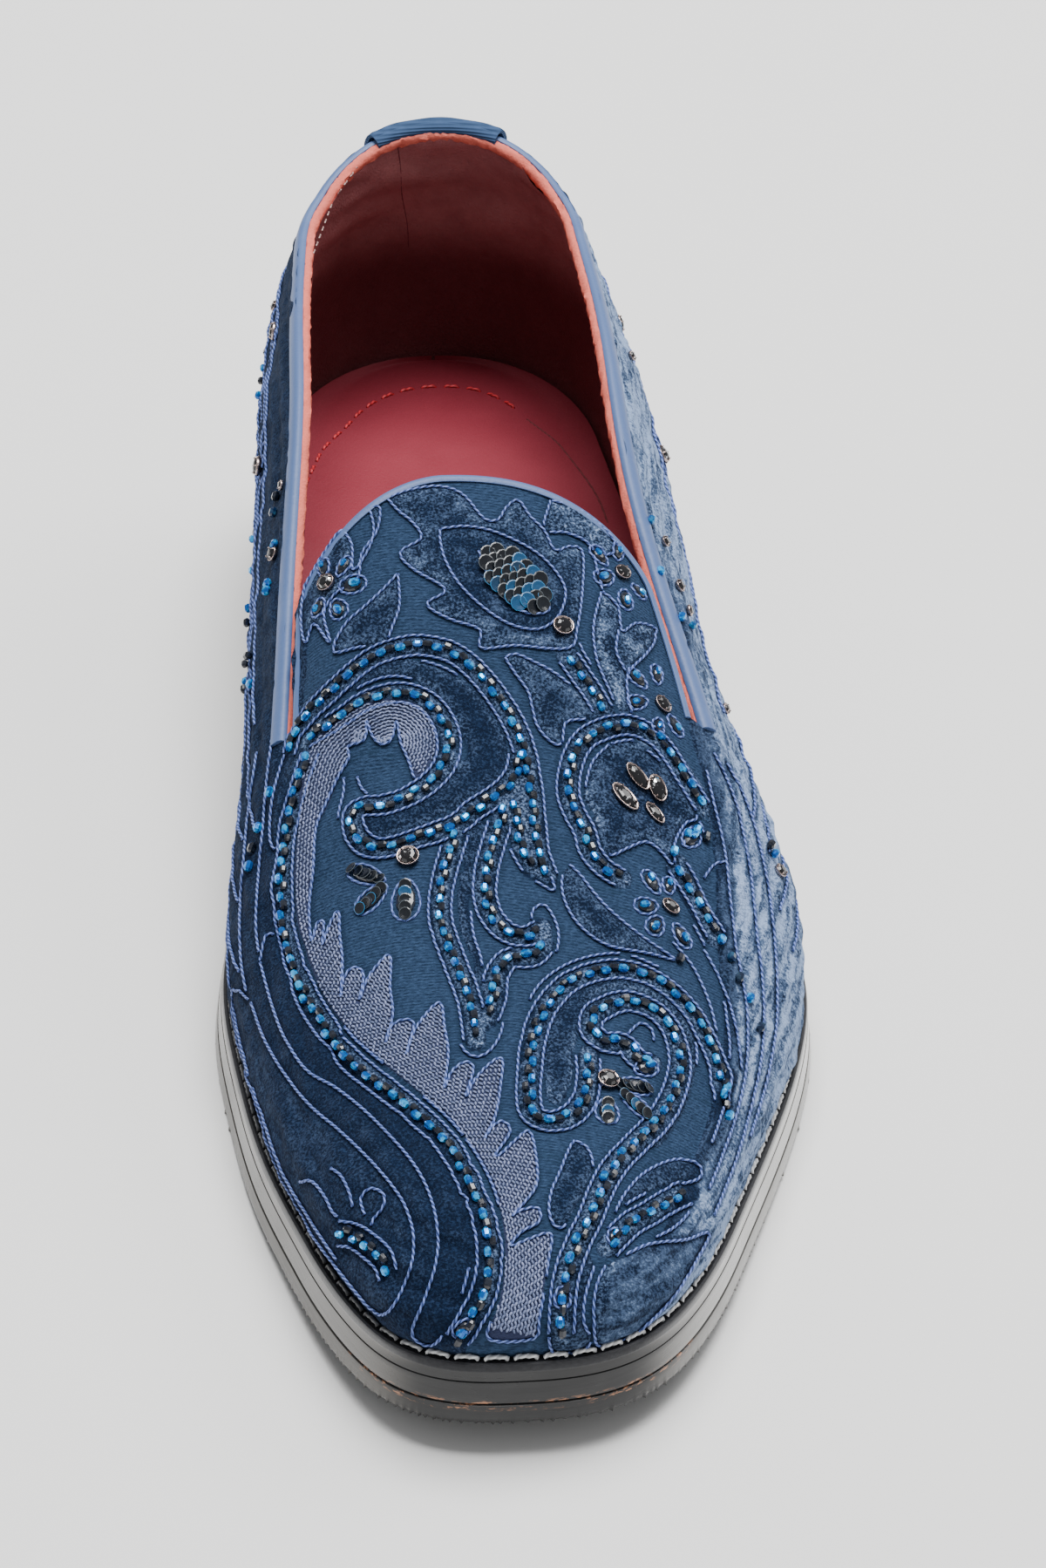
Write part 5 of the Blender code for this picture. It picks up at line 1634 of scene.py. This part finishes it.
# The cord is darker in the groove between its lobes, as painted shade
cord_colour = cord.mix(ply.between(0.15, 0.95), (0.020, 0.040, 0.140), (0.195, 0.285, 0.700))
cord.wear(cord.mix(soil, cord_colour, (0.050, 0.085, 0.240)), height=ply, depth=0.0001)
for name, lines in (("outlines", strands), ("rows", row_strands), ("bands", quarter_strands)):
    piece("cord_" + name, cords_mesh(lines), cord, "cord")

# %% Chain stitch in the feather
ROW_GAP, STITCH_GAP, ZIGZAG = 2.5, 3.1, 0.42
spine = smooth(FEATHER_SPINE, STITCH_GAP)
forth = unit(np.gradient(spine, axis=0))
sideways_of = np.column_stack([-forth[:, 1], forth[:, 0]])
rows = [
    (spine + sideways_of * offset + forth * (1.5 if row % 2 else 0.0), forth)
    for row, offset in enumerate(np.arange(-60, 60, ROW_GAP))
]
grid, heading = (np.concatenate(part) for part in zip(*rows))
close = near(grid, np.array(FEATHER, float), 0.0)
grid, heading = grid[close], heading[close]
inner = depth_inside(grid, smooth(closed(FEATHER), 4.0)) > 1.0
grid, heading = grid[inner], heading[inner]
spots, outs = lay(grid)
toward, _ = lay(grid + heading * 2)
swing = np.where(np.arange(len(grid)) % 2 == 0, ZIGZAG, -ZIGZAG)[:, None]
forth = unit(toward - spots)
across_row = unit(np.cross(forth, outs))
ahead = forth * np.cos(swing) + across_row * np.sin(swing)
beside = across_row * np.cos(swing) - forth * np.sin(swing)
size = chance.uniform(0.9, 1.1, (len(grid), 1)) / 1000
axes = np.stack([ahead * size * 0.95, beside * size * 0.50, outs * size * 0.50], 1)
stitches = copies_mesh(STITCH, spots + outs * 0.00012, axes, chance.random(len(grid)), False)
silk = Finish("chain_stitch", Roughness=0.5, Specular_IOR_Level=0.35)
tone = silk.trait("tone") * 0.5 + silk.noise(7.0, 3.0, 0.6) * 0.5
silk.wear(silk.mix(tone, (0.048, 0.074, 0.150), (0.280, 0.325, 0.520)))
piece("chain_stitch", stitches, silk, "thread")
print("stitches", len(grid))

# %% [markdown]
# ## Beads, stones and sequins
# Small cut-glass beads run in rows, every second one bright blue and the others smoky. The quarters have
# only a few. Stones are dark cut glass in rosy metal cups, each held by four claws.

# %% String the beads
bead_spots, bead_axes, bead_tones = [], [], []


def add_bead(spot, ahead, beside, up, long, wide, tone):
    bead_spots.append(spot + up * wide * 0.42)
    bead_axes.append([ahead * long, beside * wide, up * wide])
    bead_tones.append(tone)


for path, outs, pitch in bead_paths:
    ahead, beside, up = frames(path, outs)
    run, loose = run_of(path), pitch == LOOSE_PITCH
    for number, mark in enumerate(np.arange(0.0009, run[-1], pitch)):
        if loose:
            mark += chance.uniform(-0.0016, 0.0016)
            if chance.random() < 0.5:
                continue
        k = int(np.searchsorted(run, mark).clip(0, len(path) - 1))
        spin = chance.uniform(-0.35, 0.35)
        turned_beside = beside[k] * math.cos(spin) + up[k] * math.sin(spin)
        turned_up = up[k] * math.cos(spin) - beside[k] * math.sin(spin)
        wide = chance.uniform(1.35, 1.60) / 1000
        off_line = 0.00028 if number % 2 == 0 or loose else -0.00028
        spot = path[k] + beside[k] * (off_line + chance.normal() * 0.00014)
        tone = chance.uniform(0.6, 1.0) if number % 2 == 0 else chance.uniform(0.0, 0.3)
        add_bead(spot, ahead[k], turned_beside, turned_up, wide * 1.22, wide, tone)


def flat_frame(spot, angle, reach=6.0):
    """A place on the cloth, with axes turned by an angle of the chart and the chart's scale there."""
    spot = np.array(spot, float)
    swing = np.array([math.cos(angle), -math.sin(angle)]) * reach
    hits, outs = lay([spot, spot + swing, spot - swing])
    out = unit(outs[0] + 0.3 * (outs[1] + outs[2]))
    ahead = hits[1] - hits[2]
    ahead = unit(ahead - out * (ahead @ out))
    scale = np.linalg.norm(hits[0] - EYE) / FOCAL
    return hits[0], ahead, np.cross(out, ahead), out, scale


PETAL_GROWTH, DROP_SHARE = 1.2, 0.36
petal_strands, drop_spots, drop_axes = [], [], []
for x, y, long, wide, degrees in PETALS:
    hit, ahead, beside, out, scale = flat_frame((x, y), math.radians(degrees))
    long, wide = PETAL_GROWTH * long * scale, PETAL_GROWTH * wide * scale
    turn = np.linspace(0, 2 * math.pi, 30)[:, None]
    egg = wide * (0.5 + 0.10 * np.cos(turn))
    spots, outs = nearest(hit + np.cos(turn) * long / 2 * ahead + np.sin(turn) * egg * beside)
    petal_strands.append((spots, unit(blurred(outs, 3)), THIN))
    drop_spots.append(hit + out * 0.0002)
    drop_axes.append([out * 0.0012, ahead * long * DROP_SHARE, beside * wide * DROP_SHARE])
    if min(math.hypot(x - place[0], y - place[1]) for place in CLUSTERS) < 16:
        continue
    spot, normal = nearest([hit + ahead * long * 0.12])
    thick = min(max(0.42 * wide, 0.0011), 0.0017)
    add_bead(spot[0] + normal[0] * 0.0003, ahead, beside, normal[0], thick * 1.3, thick, 0.9)
for place in LONE_BEADS:
    hit, ahead, beside, out, _ = flat_frame(place, 1.3)
    add_bead(hit, ahead, beside, out, 0.0019, 0.0017, chance.uniform(0.2, 0.9))
piece("cord_petals", cords_mesh(petal_strands), cord, "cord")
glass = Finish("cut_glass_beads", Specular_IOR_Level=0.5, Coat_Weight=0.3, Coat_Roughness=0.04)
tone = glass.trait("tone")
bright = tone.between(0.35, 0.55)
shimmer = glass.noise(1.3, 2.0, 0.6)
smoky = glass.mix(shimmer.between(0.4, 0.6), (0.002, 0.004, 0.010), (0.012, 0.016, 0.026))
blue = glass.mix(shimmer.between(0.42, 0.66), (0.001, 0.105, 0.420), (0.030, 0.480, 0.960))
glass.put(glass.shader, {"Metallic": bright * 0.45})
glass.wear(glass.mix(bright, smoky, blue), 0.16 - tone * 0.06)
piece("beads", copies_mesh(BEAD, bead_spots, bead_axes, np.array(bead_tones)), glass, "beads")
print("beads", len(bead_spots))

# %% Set the stones
cut_spots, cut_axes, claw_spots, claw_axes, cup_axes, seats = [], [], [], [], [], []
for x, y, long, wide, degrees in STONES:
    *seat_frame, scale = flat_frame((x, y), math.radians(degrees))
    seats.append((*seat_frame, long * scale / 2, wide * scale / 2))
for flank in (INNER, OUTER):
    for along, up in QUARTER_CURLS:
        spots, outs = lay_quarter(flank, [(along - 1, up), (along + 1, up)], 0.5)
        middle = len(spots) // 2
        ahead = unit(spots[-1] - spots[0])
        seats.append((spots[middle], ahead, np.cross(outs[middle], ahead), outs[middle], 0.0019, 0.0018))
for hit, ahead, beside, out, long, wide in seats:
    small = min(long, wide)
    centre = hit + out * small * 0.55
    cut_spots.append(centre)
    cut_axes.append([out * small * 0.95, ahead * long * 0.90, beside * wide * 0.90])
    cup_axes.append([out * small * 1.1, ahead * long * 0.93, beside * wide * 0.93])
    for a in np.radians((45, 135, 225, 315)):
        reach = ahead * math.cos(a) * long * 0.90 + beside * math.sin(a) * wide * 0.90
        lean = unit(out - unit(reach) * 0.45)
        across_claw = unit(np.cross(lean, ahead + 0.01))
        claw_spots.append(centre + reach * 1.02)
        thin = small * 0.8
        claw_axes.append([lean * small * 1.3, across_claw * thin, np.cross(lean, across_claw) * thin])
foil = Finish("foiled_stones", Specular_IOR_Level=0.6)
depth = foil.noise(1.1, 2.0, 0.6)
# A few small patches of the stones are white mirror, as painted glints
painted_glint = depth.between(0.64, 0.68)
foil.put(foil.shader, {"Metallic": painted_glint})
foil.wear(foil.mix(painted_glint, (0.006, 0.006, 0.008), (0.95, 0.97, 1.0)), depth * 0.05 + 0.02)
copper = Finish("stone_cups", Metallic=1.0)
tarnish = copper.noise(0.8, 3.0, 0.6)
copper.wear(copper.mix(tarnish, (0.110, 0.080, 0.075), (0.720, 0.580, 0.540)), tarnish * 0.2 + 0.16)
piece("stones", copies_mesh(CUT, cut_spots, cut_axes), foil, "stones")
piece("stone_cups", copies_mesh(CUP, cut_spots, cup_axes, flat=False), copper, "settings")
piece("stone_claws", copies_mesh(CLAW, claw_spots, claw_axes, flat=False), copper, "settings")
drop_tones = np.full(len(drop_spots), 0.1)
piece("petal_drops", copies_mesh(DROP, drop_spots, drop_axes, drop_tones), glass, "beads")

# %% Sew the sequin clusters
BROAD = 12
sequin_spots, sequin_axes, sequin_tones = [], [], []
for x, y, long, wide, degrees in CLUSTERS:
    angle = math.radians(degrees)
    main = np.array([math.cos(angle), -math.sin(angle)])
    other = np.array([math.sin(angle), math.cos(angle)])
    radius = 6.4 if wide > BROAD else 5.0
    for row in range(-8, 9) if wide > BROAD else [0]:
        for column in range(-12, 13):
            u, v = (column + (row % 2) / 2) * radius * 1.1, row * radius * 0.95
            if (u / (long / 2)) ** 2 + (v / (wide / 2)) ** 2 > 1.0:
                continue
            hit, ahead, beside, out, scale = flat_frame(np.array([x, y]) + main * u + other * v, angle)
            tilt = unit(out + ahead * 0.42 + beside * chance.normal() * 0.10)
            ahead = unit(ahead - tilt * (ahead @ tilt))
            size = radius * scale
            sequin_spots.append(hit + out * (0.0007 + 0.0001 * (column % 3)))
            sequin_axes.append([tilt * size * 0.6, ahead * size, np.cross(tilt, ahead) * size])
            sequin_tones.append(chance.random())
sequins = Finish("sequins", Specular_IOR_Level=0.6)
tone = sequins.trait("tone")
# Each sequin's rim is painted paler than its disc, and some rims and discs blue: painted highlights and
# glints
sequin_rim_highlight = sequins.mix(tone.between(0.60, 0.80), (0.085, 0.100, 0.110), (0.020, 0.200, 0.420))
disc = sequins.mix(tone.between(0.80, 0.92), (0.004, 0.006, 0.010), (0.006, 0.060, 0.150))
sequins.wear(sequins.mix(sequins.trait("edge").between(0.88, 0.98), disc, sequin_rim_highlight), tone * 0.1 + 0.16)
discs = copies_mesh(SEQUIN, sequin_spots, sequin_axes, np.array(sequin_tones))
trait(discs, "edge", np.tile(np.hypot(*SEQUIN[0][:, 1:].T), len(sequin_spots)))
piece("sequins", discs, sequins, "beads")

# %% [markdown]
# ## Stitches of the maker
# The welt shows one row of long stitches, close to the upper: pale thread on the outer side and round the
# toe, and on the inner side thread painted dark as painted shade. Inside the shoe, a red row holds the sock
# at the heel, its outer end sunk and in dark thread as painted shade, and a short seam closes the lining.


# %% Sew the welt, the sock and the lining
def dashes(path, outs, pitch, long, radius, sunk=0.0003):
    """Cuts a path into stitches whose ends dip into what they are sewn to."""
    run, made, dip = run_of(path), [], (2 * np.linspace(0, 1, 9) - 1) ** 6
    for begin in np.arange(pitch / 2, run[-1] - long, pitch):
        marks = np.linspace(begin, begin + long, 9)
        spots, ups = (
            np.stack([np.interp(marks, run, part) for part in block.T], 1) for block in (path, outs)
        )
        made.append((spots - ups * (sunk * dip)[:, None], ups, radius))
    return made


def thread(name, low, high, roughness=0.5):
    """Twisted thread, with painted shade in its groove."""
    finish = Finish(name, Roughness=roughness)
    ply = finish.trait("ply")
    finish.wear(finish.mix(ply, low, high), height=ply, depth=0.0001)
    return finish


def seam_plan(first, second, inset):
    """A seam in plan along the inner side and then the outer one, inset metres in from the upper's foot."""
    station = np.concatenate([first, second])
    side = np.repeat([INNER, OUTER], [len(first), len(second)])
    plan, _ = inset_edge(station, side, feather_inset(station) + inset)
    return plan, np.tile([0.0, 0.0, 1.0], (len(plan), 1))


station = fine_stations(0.0010, 13)
plan, upwards = seam_plan(station, station[-2::-1], -0.0008)
seam = np.column_stack([plan, tread_height(plan[:, 1]) + STACK + 0.00045])
welt_rows = dashes(seam, upwards, 0.0049, 0.0035, 0.00040, 0.0005)
welt_thread_finish = Finish("welt_thread", Roughness=0.5)
ply, outside = welt_thread_finish.trait("ply"), welt_thread_finish.axis("X").between(-36.0, -20.0)
# Both threads are darker in the groove between their plies, as painted shade
pale_thread = welt_thread_finish.mix(ply, (0.30, 0.31, 0.32), (0.88, 0.89, 0.90))
# On the inner side the stitches are painted dark, as painted shade
painted_shade_thread = welt_thread_finish.mix(ply, (0.010, 0.011, 0.014), (0.070, 0.074, 0.082))
welt_thread_finish.wear(welt_thread_finish.mix(outside, painted_shade_thread, pale_thread), height=ply, depth=0.0001)
piece("welt_stitches", cords_mesh(welt_rows), welt_thread_finish, "thread")

station = fine_stations(0.0010, 0, 19)
in_from_edge = 0.0145 - 0.0075 * ease((inner_then_outer(station, station) - 6.5) / 5)
plan, upwards = seam_plan(station[::-1], station[1:], in_from_edge)
sock_tree, down = tree_of(sock_mesh), Vector((0, 0, -1))
seam = np.array([tuple(sock_tree.ray_cast(Vector((x, y, 0.2)), down)[0]) for x, y in plan])
shown = slice(max(len(seam) // 2 - 112, 1), len(seam) // 2 + 46)
red_rows = dashes(seam[shown], upwards[shown], 0.0050, 0.0030, 0.00034)
red = thread("sock_thread", (0.30, 0.012, 0.018), (0.85, 0.045, 0.060))
piece("sock_stitches", cords_mesh(red_rows), red, "thread")
LINING_TREE = tree_of(lining)
CLOSING_SEAM = [(811, 414), (813, 430), (814, 450), (818, 472), (819, 490)]
TOP_ROW = [(752, 452), (762, 440), (776, 428), (792, 419), (810, 413)]
spots, outs = lay(smooth(CLOSING_SEAM, 1.6), LINING_TREE)
# The sock's red row goes on round the outer side thinner and sunk, in dark thread as painted shade; the
# lining's closing seam uses that thread too
pressed = [
    (spots - outs * 0.0001, outs, 0.00011),
    (seam[shown.stop :] - [0, 0, 0.00025], upwards[shown.stop :], 0.00026),
]
wine = thread("pressed_seam", (0.110, 0.012, 0.018), (0.170, 0.022, 0.030), 0.7)
piece("pressed_seams", cords_mesh(pressed), wine, "thread")
lining_rows = dashes(*lay(smooth(TOP_ROW, 1.6), LINING_TREE), 0.0026, 0.0012, 0.00016, 0.0001)
ecru = thread("lining_thread", (0.20, 0.10, 0.09), (0.62, 0.45, 0.42), 0.6)
piece("lining_stitches", cords_mesh(lining_rows), ecru, "thread")

# %% [markdown]
# ## Finish
# The scene is complete: camera, floor and all pieces stand in the frame that they share. Both boxes are
# kept for comparison.

# %% Keep both boxes and finish
boxes = {"cad": cad_box, "visual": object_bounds()}
{key: [list(map(float, corner)) for corner in box] for key, box in boxes.items()}
